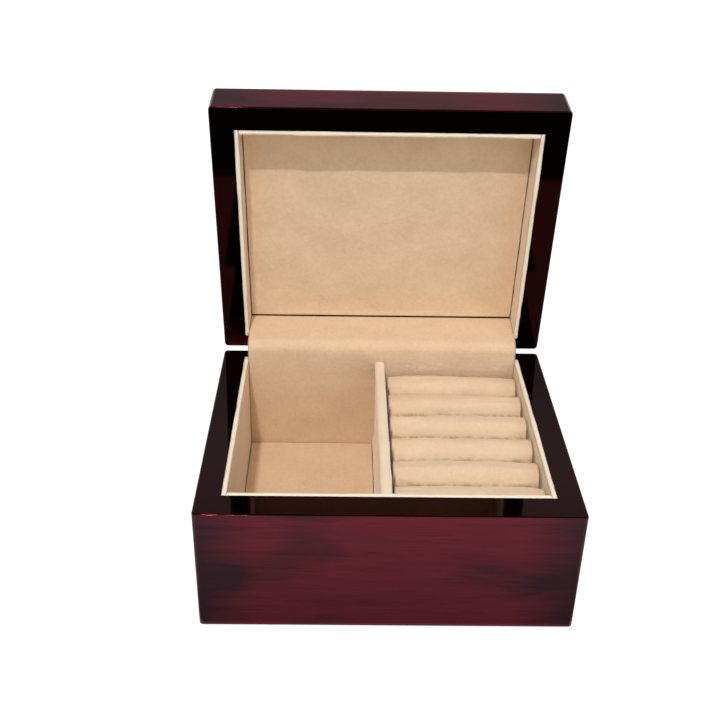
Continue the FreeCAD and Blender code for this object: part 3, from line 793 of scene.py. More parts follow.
@dataclass(frozen=True)
class LacqueredWood:
    """Cherry veneer under dark polished lacquer, nearly black along the rims, with a painted
    shade line round the foot of the base.
    """

    name: str = "cherry_lacquer"
    red: Colour = (0.148, 0.0235, 0.0345)
    brown: Colour = (0.044, 0.0205, 0.0280)
    line: Colour = (0.028, 0.0050, 0.0080)
    # near-black of the rims, also used for the painted shade round the base's foot
    rim: Colour = (0.0012, 0.0004, 0.0004)
    clouds: Grain = Grain(1.0, 3.0, 0.5, 0.7, (13.0, 38.0, 38.0), (0.0, 0.0, 24.0),
                          (0.47, 0.72), 0.75)
    streaks: Grain = Grain(1.0, 4.0, 0.6, 0.3, (14.0, 230.0, 230.0), band=(0.42, 0.72),
                           most=0.35)
    pores: Grain = Grain(1.0, 2.0, 0.5, 0.0, (60.0, 1900.0, 1900.0), band=(0.56, 0.74),
                         most=0.40)
    waves: Grain = Grain(1.0, 1.0, 0.4, 0.0, (26.0, 26.0, 26.0), depth=0.4 * MM, strength=0.10)
    end_start: float = 60.0 * MM    # from the middle of a board to where it starts to darken
    end_full: float = 90.0 * MM     # and to where it has darkened
    end_share: float = 0.95

    def build(self) -> bpy.types.Material:
        """Make the material: a cloudy figure and fine grain lines along X of the pattern.

        The figure darkens towards both ends of a board, as the toned lacquer does.

        Returns:
            The material.
        """
        finish = Finish(self.name)
        figure = finish.combine("ADD", finish.share(finish.noise(self.clouds), self.clouds),
                                finish.share(finish.noise(self.streaks), self.streaks))
        split = finish.add("ShaderNodeSeparateXYZ")
        finish.wire(finish.place(), split.inputs["Vector"])
        far = finish.combine("ABSOLUTE", split.outputs["X"], 0.0)
        ends = finish.spread(far, self.end_start, self.end_full, 0.0, self.end_share)
        figure = finish.spread(finish.combine("ADD", figure, ends), 0.0, 1.0)
        colour = finish.mix(figure, self.red, self.brown)
        lines = finish.share(finish.noise(self.pores), self.pores)
        colour = finish.mix(lines, colour, self.line)
        colour = finish.mix(finish.trait(Trait.RIM), colour, self.rim)
        finish.colour_and_relief(colour, finish.bump(finish.noise(self.waves), self.waves))
        finish.set(Roughness=0.05, IOR=1.38, Specular_Tint=(1.0, 0.11, 0.12, 1.0))
        return finish.material


@dataclass(frozen=True)
class Brass:
    """Drawn brass with fine lines along the leaf and a slightly dulled polish."""

    name: str = "hinge_brass"
    bright: Colour = (0.86, 0.62, 0.27)
    dull: Colour = (0.62, 0.42, 0.17)
    lines: Grain = Grain(1.0, 3.0, 0.6, 0.0, (120.0, 5200.0, 5200.0), depth=0.02 * MM,
                         strength=0.5)
    stain: Grain = Grain(1.0, 4.0, 0.6, 0.0, (160.0, 160.0, 160.0), band=(0.4, 0.7))
    polish: tuple[float, float] = (0.22, 0.38)  # roughness where the lines are low and high

    def build(self) -> bpy.types.Material:
        """Make the material: long fine lines tint and roughen the metal.

        Returns:
            The material.
        """
        finish = Finish(self.name)
        lines = finish.noise(self.lines)
        stain = finish.share(finish.noise(self.stain), self.stain)
        finish.wire(finish.spread(lines, *self.lines.band, *self.polish),
                    finish.shader.inputs["Roughness"])
        finish.colour_and_relief(finish.mix(stain, self.bright, self.dull),
                                 finish.bump(lines, self.lines))
        finish.set(Metallic=1.0)
        return finish.material


@dataclass(frozen=True)
class Fibrous:
    """A matt fibrous sheet: felt, card or board, with fibres of a chosen scale."""

    name: str
    light: Colour
    dark: Colour
    fibre: float
    depth: float
    sheen: float = 0.0
    coarser: float = 0.08       # scale of the broad tone, as a share of the fibres' scale

    def build(self) -> bpy.types.Material:
        """Make the material: broad tone and fine fibres, raised by the fibres.

        Returns:
            The material.
        """
        finish = Finish(self.name)
        broad = Grain(self.fibre * self.coarser, 3.0, 0.5, most=0.4)
        fine = Grain(self.fibre, 4.0, 0.65, 0.8, (0.35, 1.0, 1.0), most=0.6,
                     depth=self.depth, strength=0.8)
        fibres = finish.noise(fine)
        share = finish.combine("ADD", finish.share(finish.noise(broad), broad),
                               finish.share(fibres, fine))
        finish.colour_and_relief(finish.mix(share, self.dark, self.light),
                                 finish.bump(fibres, fine))
        finish.set(Roughness=0.92, Specular_IOR_Level=0.2, Sheen_Weight=self.sheen)
        return finish.material


class Finishes:
    """Every finish of the box, each made once."""

    def __init__(self) -> None:
        """Make the materials."""
        self.wood = LacqueredWood().build()
        self.velour = Velour("cream_velour").build()
        # painted light: a paler copy of the cream velour for the rolls, which face the lamps
        self.paler_lit_roll_velour = Velour("paler_lit_roll_velour", lit=(0.82, 0.615, 0.42),
                                  shaded=(0.73, 0.53, 0.35)).build()
        self.brass = Brass().build()
        self.felt = Fibrous("base_felt", (0.030, 0.020, 0.018), (0.012, 0.008, 0.007),
                            900.0, 0.2 * MM, sheen=0.3).build()
        self.card = Fibrous("grey_card", (0.45, 0.41, 0.35), (0.33, 0.29, 0.24),
                            1500.0, 0.08 * MM).build()
        self.board = Fibrous("bottom_board", (0.42, 0.27, 0.15), (0.25, 0.15, 0.08),
                             700.0, 0.12 * MM).build()


# ------------------------------------------------------------------ dressing a piece
@dataclass(frozen=True)
class Workshop:
    """What every maker of pieces needs: the frame and the finishes."""

    frame: BoxFrame
    finishes: Finishes

    def fit(self, piece: bpy.types.Object, part: Part,
            material: bpy.types.Material, node: str) -> None:
        """Give a piece its finish, its body and the node that it stands for.

        Args:
            piece: the finished object.
            part: the body on which it rides.
            material: its material.
            node: name of the node that it replaces.
        """
        piece.data.materials.clear()
        piece.data.materials.append(material)
        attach(piece, part.value)
        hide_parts(node)
        LOG.info("%s: %d faces", piece.name, len(piece.data.polygons))

    def seated(self, points: np.ndarray, part: Part) -> np.ndarray:
        """Points of a piece where they lie with the lid open."""
        return self.frame.opened(points) if part is Part.LID else points


def corner_pairs(vertex_of_corner: np.ndarray) -> tuple[np.ndarray, np.ndarray]:
    """Every ordered pair of face corners that share a vertex.

    Args:
        vertex_of_corner: vertex of each face corner.

    Returns:
        The first and the second corner of each pair.
    """
    order = np.argsort(vertex_of_corner, kind="stable")
    _, first, count = np.unique(vertex_of_corner[order], return_index=True, return_counts=True)
    starts, counts = np.repeat(first, count), np.repeat(count, count)
    one = np.repeat(np.arange(len(order)), counts)
    step = np.arange(len(one)) - np.repeat(np.cumsum(counts) - counts, counts)
    return order[one], order[starts[one] + step]


def flat_face_normals(mesh: bpy.types.Mesh, crease: float = 40.0) -> None:
    """Shade flat faces flat and the roundings between them smooth.

    The normal of a face corner is the sum of weight * face normal over the faces at its
    vertex that turn from its own face by less than the crease angle. The weight is the
    square of the whole area that lies in the plane of such a face.

    Args:
        mesh: a merged mesh of triangles.
        crease: angle in degrees.
    """
    faces = len(mesh.polygons)
    normal, middle = np.empty(faces * 3, np.float32), np.empty(faces * 3, np.float32)
    area, corner = np.empty(faces, np.float32), np.empty(faces * 3, np.int32)
    mesh.polygons.foreach_get("normal", normal)
    mesh.polygons.foreach_get("area", area)
    mesh.polygons.foreach_get("center", middle)
    mesh.loops.foreach_get("vertex_index", corner)
    normal, middle = normal.reshape(-1, 3).astype(float), middle.reshape(-1, 3)
    offset = (normal * middle).sum(axis=1, keepdims=True)
    plane = np.concatenate([normal * PLANE_STEPS, offset / PLANE_GAP], axis=1)
    plane = np.round(plane).astype(int)
    group = np.unique(plane, axis=0, return_inverse=True)[1].ravel()
    weight = np.bincount(group, weights=area)[group] ** 2
    own, other = corner_pairs(corner)
    own_face, other_face = own // 3, other // 3
    near = (normal[own_face] * normal[other_face]).sum(axis=1) > math.cos(math.radians(crease))
    share = normal[other_face[near]] * weight[other_face[near], None]
    total = np.stack([np.bincount(own[near], weights=share[:, axis], minlength=len(corner))
                      for axis in range(3)], axis=1)
    total /= np.linalg.norm(total, axis=1, keepdims=True)
    mesh.normals_split_custom_set(total.tolist())


def refined(shop: Workshop, node: str, name: str, pattern_axes: tuple[int, int, int]
            ) -> tuple[bpy.types.Object, np.ndarray]:
    """A merged copy of a node, its roundings shaded smooth.

    Args:
        shop: the workshop.
        node: name of the node.
        name: name of the new piece.
        pattern_axes: axes of the shut box that run along X, Y and Z of the pattern.

    Returns:
        The new object, and the place of each vertex in its pattern.
    """
    mesh = shop.frame.nodes[node].data.copy()
    mesh.name = name
    work = bmesh.new()
    work.from_mesh(mesh)
    bmesh.ops.remove_doubles(work, verts=work.verts, dist=MERGE_GAP)
    work.to_mesh(mesh)
    work.free()
    mesh.polygons.foreach_set("use_smooth", [True] * len(mesh.polygons))
    flat_face_normals(mesh)
    piece = bpy.data.objects.new(name, mesh)
    bpy.context.scene.collection.objects.link(piece)
    pattern = shop.frame.vertices(node, mesh)[:, pattern_axes]
    write_trait(mesh, Trait.PLACE, pattern)
    return piece, pattern


def dress(shop: Workshop, part: Part, material: bpy.types.Material, node: str,
          ending: str = "finished") -> None:
    """Replace a node by a merged copy whose pattern lies along the box's own axes.

    Args:
        shop: the workshop.
        part: the body on which it rides.
        material: its material.
        node: name of the node.
        ending: what is added to that name for the new piece.
    """
    piece, _ = refined(shop, node, f"{node}_{ending}", (0, 1, 2))
    shop.fit(piece, part, material, node)


# ------------------------------------------------------------------ woodwork
@dataclass(frozen=True)
class Woodwork:
    """Walls, rails and top panel: lacquered copies of their nodes."""

    rim_start: float = 0.1 * MM     # the lacquer stays black this far from the rim
    rim_end: float = 0.8 * MM       # and has its own colour this far from it
    painted_foot_shade: float = 0.9 * MM      # height of the painted shade line round the foot
    toned: float = 0.42             # the lid's front rail is toned darker
    along_x: tuple[int, int, int] = (0, 2, 1)
    along_y: tuple[int, int, int] = (1, 2, 0)

    def member(self, shop: Workshop, part: Part, side: str, noun: str) -> None:
        """One wall or rail, its grain along its length, its rim nearly black and a line of
        painted shade round the foot of the base.

        Args:
            shop: the workshop.
            part: base or lid.
            side: front, back, left or right.
            noun: wall or rail.
        """
        node = f"{part.value}_{side}_{noun}"
        axes = self.along_x if side in ("front", "back") else self.along_y
        piece, pattern = refined(shop, node, f"{node}_lacquered", axes)
        height = pattern[:, 1]
        rim = shop.frame.base_rim if part is Part.BASE else shop.frame.lid_rim
        share = 1 - smooth_step(np.abs(height - rim), self.rim_start, self.rim_end)
        if part is Part.BASE:
            # painted shade: a near-black line round the foot of the base
            share = np.maximum(share, 1 - smooth_step(height - height.min(), 0, self.painted_foot_shade))
        elif side == "front":
            share = np.maximum(share, self.toned)
        write_trait(piece.data, Trait.RIM, share)
        shop.fit(piece, part, shop.finishes.wood, node)

    def build(self, shop: Workshop) -> None:
        """Make all nine wooden pieces.

        Args:
            shop: the workshop.
        """
        for side in ("front", "back", "left", "right"):
            self.member(shop, Part.BASE, side, "wall")
            self.member(shop, Part.LID, side, "rail")
        dress(shop, Part.LID, shop.finishes.wood, "lid_top_panel", "lacquered")


# ------------------------------------------------------------------ bars, pads and linings
@dataclass(frozen=True)
class Bar:
    """A long soft piece with one outline, rounded at both ends."""

    outline: np.ndarray
    start: float
    end: float
    end_round: float
    spacing: float = 1.2 * MM

    def rings(self, swell: tuple[Undulation, ...] = ()) -> np.ndarray:
        """Points of the bar, as rings of (along, across, up).

        Each outline point moves out along its normal by the swell there, less what the
        rounded end draws in.

        Args:
            swell: unevenness, read at (along, across, up).

        Returns:
            An array of stations by points by 3.
        """
        places, drawn_in = eased_stations(self.start, self.end, self.spacing, self.end_round)
        flat = np.broadcast_to(self.outline, (len(places), *self.outline.shape))
        along = np.broadcast_to(places[:, None, None], (*flat.shape[:2], 1))
        points = np.concatenate([along, flat], axis=2)
        out = -drawn_in[:, None] + sum((wave.at(points) for wave in swell), np.zeros(1))
        moved = flat + outline_normals(self.outline) * out[..., None]
        return np.concatenate([along, moved], axis=2)


@dataclass(frozen=True)
class Pad:
    """A flat cushion over a rectangle, softly rounded along its upper edges."""

    span: Span
    edge_round: float
    crown: float
    face_up: bool
    spacing: float = 1.5 * MM
    edge_steps: int = 7

    def skin(self, swell: tuple[Undulation, ...]) -> tuple[np.ndarray, list, np.ndarray]:
        """Points and faces of the pad, its grid closer together in the rounded edges.

        The face falls by r - sqrt(r^2 - (r - d)^2) at a distance d under r from the
        nearest edge, and rises towards the middle by crown (1 - u^4) (1 - v^4).

        Args:
            swell: unevenness of the face.

        Returns:
            Vertices, faces, and how far each vertex lies from the pad's edge.
        """
        low, high, middle = self.span.low, self.span.high, self.span.middle
        half, r = self.span.size / 2, self.edge_round
        lines = (eased_stations(low[axis], high[axis], self.spacing, r, self.edge_steps)[0]
                 for axis in range(2))
        x, y = np.meshgrid(*lines, indexing="ij")
        u, v = (x - middle[0]) / half[0], (y - middle[1]) / half[1]
        edge = np.minimum(half[0] - np.abs(x - middle[0]), half[1] - np.abs(y - middle[1]))
        fall = r - np.sqrt(np.clip(r * r - np.clip(r - edge, 0, r) ** 2, 0, None))
        rise = self.crown * (1 - u ** 4) * (1 - v ** 4)
        level = np.stack([x, y, np.full_like(x, middle[2])], axis=-1)
        wave = sum((one.at(level) for one in swell), np.zeros(1)) * np.clip(edge / r, 0, 1)
        depth = self.crown + fall - rise - wave
        face, back = (high[2] - depth, low[2]) if self.face_up else (low[2] + depth, high[2])
        inside = np.concatenate([edge.ravel(), np.zeros(edge.size)])
        return *slab(x, y, face, back), inside


@dataclass(frozen=True)
class LipPanel:
    """A thin lining panel whose wrapped top edge swells over a glued crease.

    Across the panel runs from 0 at the wood to its thickness at the open side. Up runs
    towards the lip.
    """

    thickness: float
    foot: float
    lip: float
    overhang: float
    crease: float = 0.30 * MM       # depth of the glued crease
    crease_depth: float = 2.5 * MM  # how far it lies under the top of the lip
    crease_width: float = 0.50 * MM
    # painted shade in the glued crease and along the lip's open edge
    seam_share: float = 0.30
    edge_shade_band: float = 0.55
    edge_turns: tuple[float, float] = (0.2, 0.6)    # the painted shade at the edge fades along this arc
    pale_light_and_wear: tuple[float, float] = (0.8, 1.5)          # the wear and painted light on the lip fade at these depths, in radii
    arc_points: int = 15
    fine_depth: float = 6.0 * MM    # down to here the points lie close together
    fine: float = 0.25 * MM
    coarse: float = 2.0 * MM
    arc_gap: float = 1.15           # depth at which they end under the lip, in radii

    def outline(self) -> tuple[np.ndarray, np.ndarray, np.ndarray]:
        """Closed outline of the panel.

        The lip is a half circle as wide as the thickness and the overhang. Below it, at
        a depth d under the top of the lip, the open side stands at thickness +
        overhang exp(-(d / r - 1)^2) - crease exp(-((d - crease depth) / width)^2).

        Returns:
            Points of (across, up), anticlockwise, with the share of wear and painted light, and
            that of painted shade, at each.
        """
        radius = (self.thickness + self.overhang) / 2
        turn = np.linspace(0, math.pi, self.arc_points)
        arc = np.stack([radius + radius * np.cos(turn),
                        self.lip - radius + radius * np.sin(turn)], axis=1)
        near = spaced(self.fine_depth, radius * self.arc_gap, self.fine)
        depth = np.concatenate([spaced(self.lip - self.foot, self.fine_depth, self.coarse),
                                near[1:]])
        groove = np.exp(-(((depth - self.crease_depth) / self.crease_width) ** 2))
        across = (self.thickness + self.overhang * np.exp(-((depth / radius - 1) ** 2))
                  - self.crease * groove)
        open_side = np.stack([across, self.lip - depth], axis=1)
        points = np.concatenate([[[0.0, self.foot]], open_side, arc])
        # the top of the lip is made pale: wear and painted light on the bend
        light_and_wear = 1 - smooth_step((self.lip - points[:, 1]) / radius, *self.pale_light_and_wear)
        # painted shade in the glued crease and along the lip's open edge
        edge = self.edge_shade_band * (1 - smooth_step(turn, *self.edge_turns))
        painted_shade = np.concatenate([[0.0], groove * self.seam_share, edge])
        return points, light_and_wear, painted_shade


@dataclass(frozen=True)
class Linings:
    """Velour-wrapped card linings of the base and the lid."""

    end_round: float = 0.4 * MM
    clearance: float = 0.1 * MM
    lip_play: float = 0.05 * MM     # the lips of the base and the lid don't press together
    side_overhang: float = 0.15 * MM
    front_overhang: float = 0.65 * MM
    slack: tuple[Undulation, ...] = (Undulation(0.07 * MM, (30 * MM, 30 * MM, 20 * MM), 11),
                                     Undulation(0.04 * MM, (6 * MM, 6 * MM, 6 * MM), 12))

    def panel(self, shop: Workshop, part: Part, side: str) -> None:
        """One lining, from end to end of its wall.

        Args:
            shop: the workshop.
            part: base or lid.
            side: left, right or front.
        """
        node = f"{part.value}_lining_{side}"
        span = shop.frame.span(node)
        across, along = (1, 0) if side == "front" else (0, 1)
        up = 1 if part is Part.BASE else -1
        foot, lip = (span.low[2], span.high[2]) if up == 1 else (-span.high[2], -span.low[2])
        overhang = self.front_overhang if side == "front" else self.side_overhang
        outline, light_and_wear, painted_shade = LipPanel(span.size[across], foot, lip, overhang).outline()
        clear = self.side_overhang + self.clearance if side == "front" else 0.0
        bar = Bar(outline, span.low[along] + clear, span.high[along] - clear, self.end_round)
        rings = bar.rings(self.slack)
        wood, inward = (span.high[0], -1) if side == "right" else (span.low[across], 1)
        rings[..., 1] = wood + inward * np.clip(rings[..., 1], 0, None)
        rings[..., 2] = np.minimum(rings[..., 2], lip - self.lip_play) * up
        points, faces = tube(rings[..., (0, 1, 2) if side == "front" else (1, 0, 2)])
        traits = {Trait.PLACE: points, Trait.WEAR: np.tile(light_and_wear, len(rings)),
                  Trait.SEAM: np.tile(painted_shade, len(rings))}
        piece = new_piece(f"{node}_velour", shop.seated(points, part), faces, traits)
        shop.fit(piece, part, shop.finishes.velour, node)

    def build(self, shop: Workshop) -> None:
        """Make the six linings.

        Args:
            shop: the workshop.
        """
        for part in Part:
            for side in ("left", "right", "front"):
                self.panel(shop, part, side)


# ------------------------------------------------------------------ inside of the base
@dataclass(frozen=True)
class Divider:
    """Upright divider: a thin body under a wrapped bead."""

    recess: float = 0.7 * MM        # the body stands back this far under the bead
    recess_at_rolls: float = 0.2 * MM
    rise: float = 1.3 * MM
    bead_depth: float = 4.5 * MM
    bead_fade: float = 1.5 * MM     # over this height the bead runs into the body
    foot: tuple[float, float] = (1.0 * MM, 8.0 * MM)    # the body comes forward between these
    end_round: float = 0.8 * MM
    spacing: float = 0.55 * MM
    # wear and painted light on the top of the bead
    light_and_wear: float = 0.6
    pale_light_and_wear: tuple[float, float] = (0.7, 1.6)      # the wear and painted light fade at these depths, in rises
    # painted shade in a line under the bead
    painted_shade: float = 0.5
    shade_above: float = 0.7 * MM    # the painted shade lies this far above the bead's end
    shade_width: float = 0.6 * MM
    swell: tuple[Undulation, ...] = (Undulation(0.06 * MM, (25 * MM, 25 * MM, 25 * MM), 31),
                                     Undulation(0.035 * MM, (5 * MM, 5 * MM, 5 * MM), 32))

    def build(self, shop: Workshop) -> None:
        """Make the divider.

        Below the bead each side stands back by its recess times a smooth step of the depth,
        and comes forward again towards the floor.

        Args:
            shop: the workshop.
        """
        node = "compartment_divider"
        span = shop.frame.span(node)
        outline = arch(span.middle[0], span.size[0] / 2, span.high[2], span.low[2],
                       self.rise, self.spacing)
        depth = span.high[2] - outline[:, 1]
        height = outline[:, 1] - shop.frame.span("compartment_floor_pad").high[2]
        share = (smooth_step(depth, self.bead_depth - self.bead_fade, self.bead_depth)
                 * smooth_step(height, *self.foot))
        inward = np.sign(span.middle[0] - outline[:, 0])
        stand = np.where(inward > 0, self.recess, self.recess_at_rolls)
        outline[:, 0] += inward * stand * share
        rings = Bar(outline, span.low[1], span.high[1], self.end_round).rings(self.swell)
        rings[..., 2] = np.maximum(rings[..., 2], span.low[2])
        points, faces = tube(rings[..., (1, 0, 2)])
        # the top of the bead is made pale: wear and painted light
        light_and_wear = self.light_and_wear * (1 - smooth_step(depth / self.rise, *self.pale_light_and_wear))
        # painted shade in a line under the bead
        below = depth - self.bead_depth + self.shade_above
        painted_shade = self.painted_shade * np.exp(-(below / self.shade_width) ** 2)
        traits = {Trait.PLACE: points, Trait.WEAR: np.tile(light_and_wear, len(rings)),
                  Trait.SEAM: np.tile(painted_shade, len(rings))}
        piece = new_piece(f"{node}_velour", points, faces, traits)
        shop.fit(piece, Part.BASE, shop.finishes.velour, node)


@dataclass(frozen=True)
class RingRolls:
    """The row of ring rolls: wrapped foam, filled out between the glued sides."""

    end_round: float = 1.3 * MM
    spacing: float = 1.0 * MM
    pressed_end: float = 0.8 * MM   # so much of the left end is pressed flat
    play: float = 0.12 * MM         # kept between two rolls
    crest_play: float = 0.3 * MM    # a crest starts this much lower, and may rise as much
    glued: float = 5.0 * MM         # height over the board up to which the wrap is glued
    stuffing: Stuffing = Stuffing(pressure=1.0, slack=0.014, cap=0.6 * MM)
    swell: tuple[Undulation, ...] = (Undulation(0.20 * MM, (22 * MM, 14 * MM, 14 * MM), 40),
                                     Undulation(0.08 * MM, (5 * MM, 4 * MM, 4 * MM), 60))
    gap_shade: float = 0.48          # painted shade in the gaps between the rolls
    gap_depths: tuple[float, float] = (4.8 * MM, 6.2 * MM)  # it grows between these depths
    ragged: Undulation = Undulation(0.35, (3.5 * MM, 5 * MM, 5 * MM), 90)
    ragged_mean: float = 0.5
    end_depths: tuple[float, float] = (1.5 * MM, 4.0 * MM)  # the painted shade at the ends grows between these
    end_reach: tuple[float, float] = (0.2 * MM, 0.6 * MM)   # and fades this far along the roll

    def roll(self, shop: Workshop, number: int) -> None:
        """One roll: a half-round crest on straight sides, uneven where it is wrapped.

        Args:
            shop: the workshop.
            number: its place in the row, from 1 at the front.
        """
        node = f"ring_roll_{number}"
        span = shop.frame.span(node)
        radius = span.size[1] / 2
        outline = arch(span.middle[1], radius, span.high[2] - self.crest_play, span.low[2],
                       radius, self.spacing)
        bar = Bar(outline, span.low[0] - self.pressed_end, span.high[0], self.end_round,
                  self.spacing)
        points, faces = tube(bar.rings(tuple(wave.numbered(number) for wave in self.swell)))
        points = self.stuffing.filled(points, faces, points[:, 2] < span.low[2] + self.glued)
        room = radius + self.play
        points[:, 0] = np.clip(points[:, 0], span.low[0], span.high[0])
        points[:, 1] = np.clip(points[:, 1], span.middle[1] - room, span.middle[1] + room)
        points[:, 2] = np.clip(points[:, 2], span.low[2], span.high[2] + self.crest_play)
        # painted shade: dark in the gaps between the rolls and at their ends
        down = span.high[2] - points[:, 2]
        end = np.minimum(points[:, 0] - span.low[0], span.high[0] - points[:, 0])
        broken = np.clip(self.ragged_mean + self.ragged.numbered(number).at(points), 0, 1)
        gap = self.gap_shade * smooth_step(down, *self.gap_depths) * broken
        ends = smooth_step(down, *self.end_depths) * (1 - smooth_step(end, *self.end_reach))
        traits = {Trait.PLACE: points, Trait.SEAM: np.maximum(gap, ends)}
        piece = new_piece(f"{node}_velour", points, faces, traits)
        shop.fit(piece, Part.BASE, shop.finishes.paler_lit_roll_velour, node)

    def build(self, shop: Workshop) -> None:
        """Make every roll of the row.

        Args:
            shop: the workshop.
        """
        count = sum(name.startswith("ring_roll_") for name in shop.frame.nodes)
        for number in range(1, count + 1):
            self.roll(shop, number)


@dataclass(frozen=True)
class FlatPad:
    """One flat pad: where it goes and how its face is made."""

    part: Part
    node: str
    name: str
    crown: float
    fill: float
    swell: tuple[Undulation, ...]
    spread: float = 0.0             # the wrap reaches this far past the pad's card
    edge_round: float = 0.6 * MM


@dataclass(frozen=True)
class FlatPads:
    """The padded floor of the compartment and the padded ceiling of the lid."""

    pads: tuple[FlatPad, ...] = (
        FlatPad(Part.BASE, "compartment_floor_pad", "compartment_floor_velour", 0.3 * MM, 0.8,
                (Undulation(0.12 * MM, (40 * MM, 40 * MM, 1.0), 21),
                 Undulation(0.05 * MM, (9 * MM, 9 * MM, 1.0), 22))),
        FlatPad(Part.LID, "lid_ceiling_pad", "lid_ceiling_velour", 0.4 * MM, 0.7,
                (Undulation(0.14 * MM, (45 * MM, 45 * MM, 1.0), 71),
                 Undulation(0.05 * MM, (8 * MM, 8 * MM, 1.0), 72)), 0.6 * MM))
    painted_shade: float = 0.30              # darkness of the painted shade along the outermost edge
    shade_fade: tuple[float, float] = (0.05 * MM, 0.35 * MM)
    light_and_wear: float = 0.45              # a pale line of wear and painted light runs along the edge
    light_and_wear_line: float = 1.2 * MM     # this far in
    light_and_wear_width: float = 0.5 * MM
    glued: float = 1.0 * MM         # the wrap is glued this far in from the edge
    stuffing: Stuffing = Stuffing(pressure=0.25, slack=0.004, cap=0.5 * MM)

    def pad(self, shop: Workshop, flat: FlatPad) -> None:
        """One pad.

        Args:
            shop: the workshop.
            flat: where it goes and how it is made.
        """
        card = shop.frame.span(flat.node)
        reach = np.array([flat.spread, flat.spread, 0])
        shape = Pad(Span(card.low - reach, card.high + reach), flat.edge_round, flat.crown,
                    flat.part is Part.BASE)
        points, faces, inside = shape.skin(flat.swell)
        points = self.stuffing.filled(points, faces, inside < self.glued)
        points[:, 2] = np.clip(points[:, 2], card.low[2], card.high[2])
        # painted shade along the pad's edge
        edge = 1 - smooth_step(inside, *self.shade_fade)
        # a pale line of wear and painted light along the pad's edge
        pale_light_and_wear = np.exp(-((inside - self.light_and_wear_line) / self.light_and_wear_width) ** 2)
        traits = {Trait.PLACE: points, Trait.SEAM: self.painted_shade * edge,
                  Trait.WEAR: self.light_and_wear * pale_light_and_wear}
        piece = new_piece(flat.name, shop.seated(points, flat.part), faces, traits)
        shop.fit(piece, flat.part, shop.finishes.velour, flat.node)

    def build(self, shop: Workshop) -> None:
        """Make both pads.

        Args:
            shop: the workshop.
        """
        for flat in self.pads:
            self.pad(shop, flat)


# ------------------------------------------------------------------ cloth across the hinge
@dataclass(frozen=True)
class ClothPath:
    """Corners of the back cloth's middle line, as (y, z), with a bend radius at each."""

    corners: np.ndarray
    radii: np.ndarray
    spacing: float = 0.55 * MM
    arc_points: int = 13

    def line(self) -> np.ndarray:
        """Points along the path, its corners rounded by arcs.

        An arc of radius r at a corner that turns by q starts and ends r tan(q / 2) from it.

        Returns:
            An array of (y, z), evenly spaced.
        """
        points = [self.corners[:1]]
        for before, corner, after, radius in zip(self.corners[:-2], self.corners[1:-1],
                                                 self.corners[2:], self.radii[1:-1]):
            arrive = (corner - before) / np.linalg.norm(corner - before)
            leave = (after - corner) / np.linalg.norm(after - corner)
            cross = float(arrive[0] * leave[1] - arrive[1] * leave[0])
            turn = math.atan2(cross, float(arrive @ leave))
            start = corner - arrive * radius * math.tan(abs(turn) / 2)
            side = math.copysign(1.0, turn)
            centre = start + side * radius * np.array([-arrive[1], arrive[0]])
            sweep = np.linspace(0, turn, self.arc_points)[:, None]
            spoke = start - centre
            points.append(centre + spoke * np.cos(sweep)
                          + np.array([-spoke[1], spoke[0]]) * np.sin(sweep))
        points.append(self.corners[-1:])
        return evened(np.concatenate(points), self.spacing)


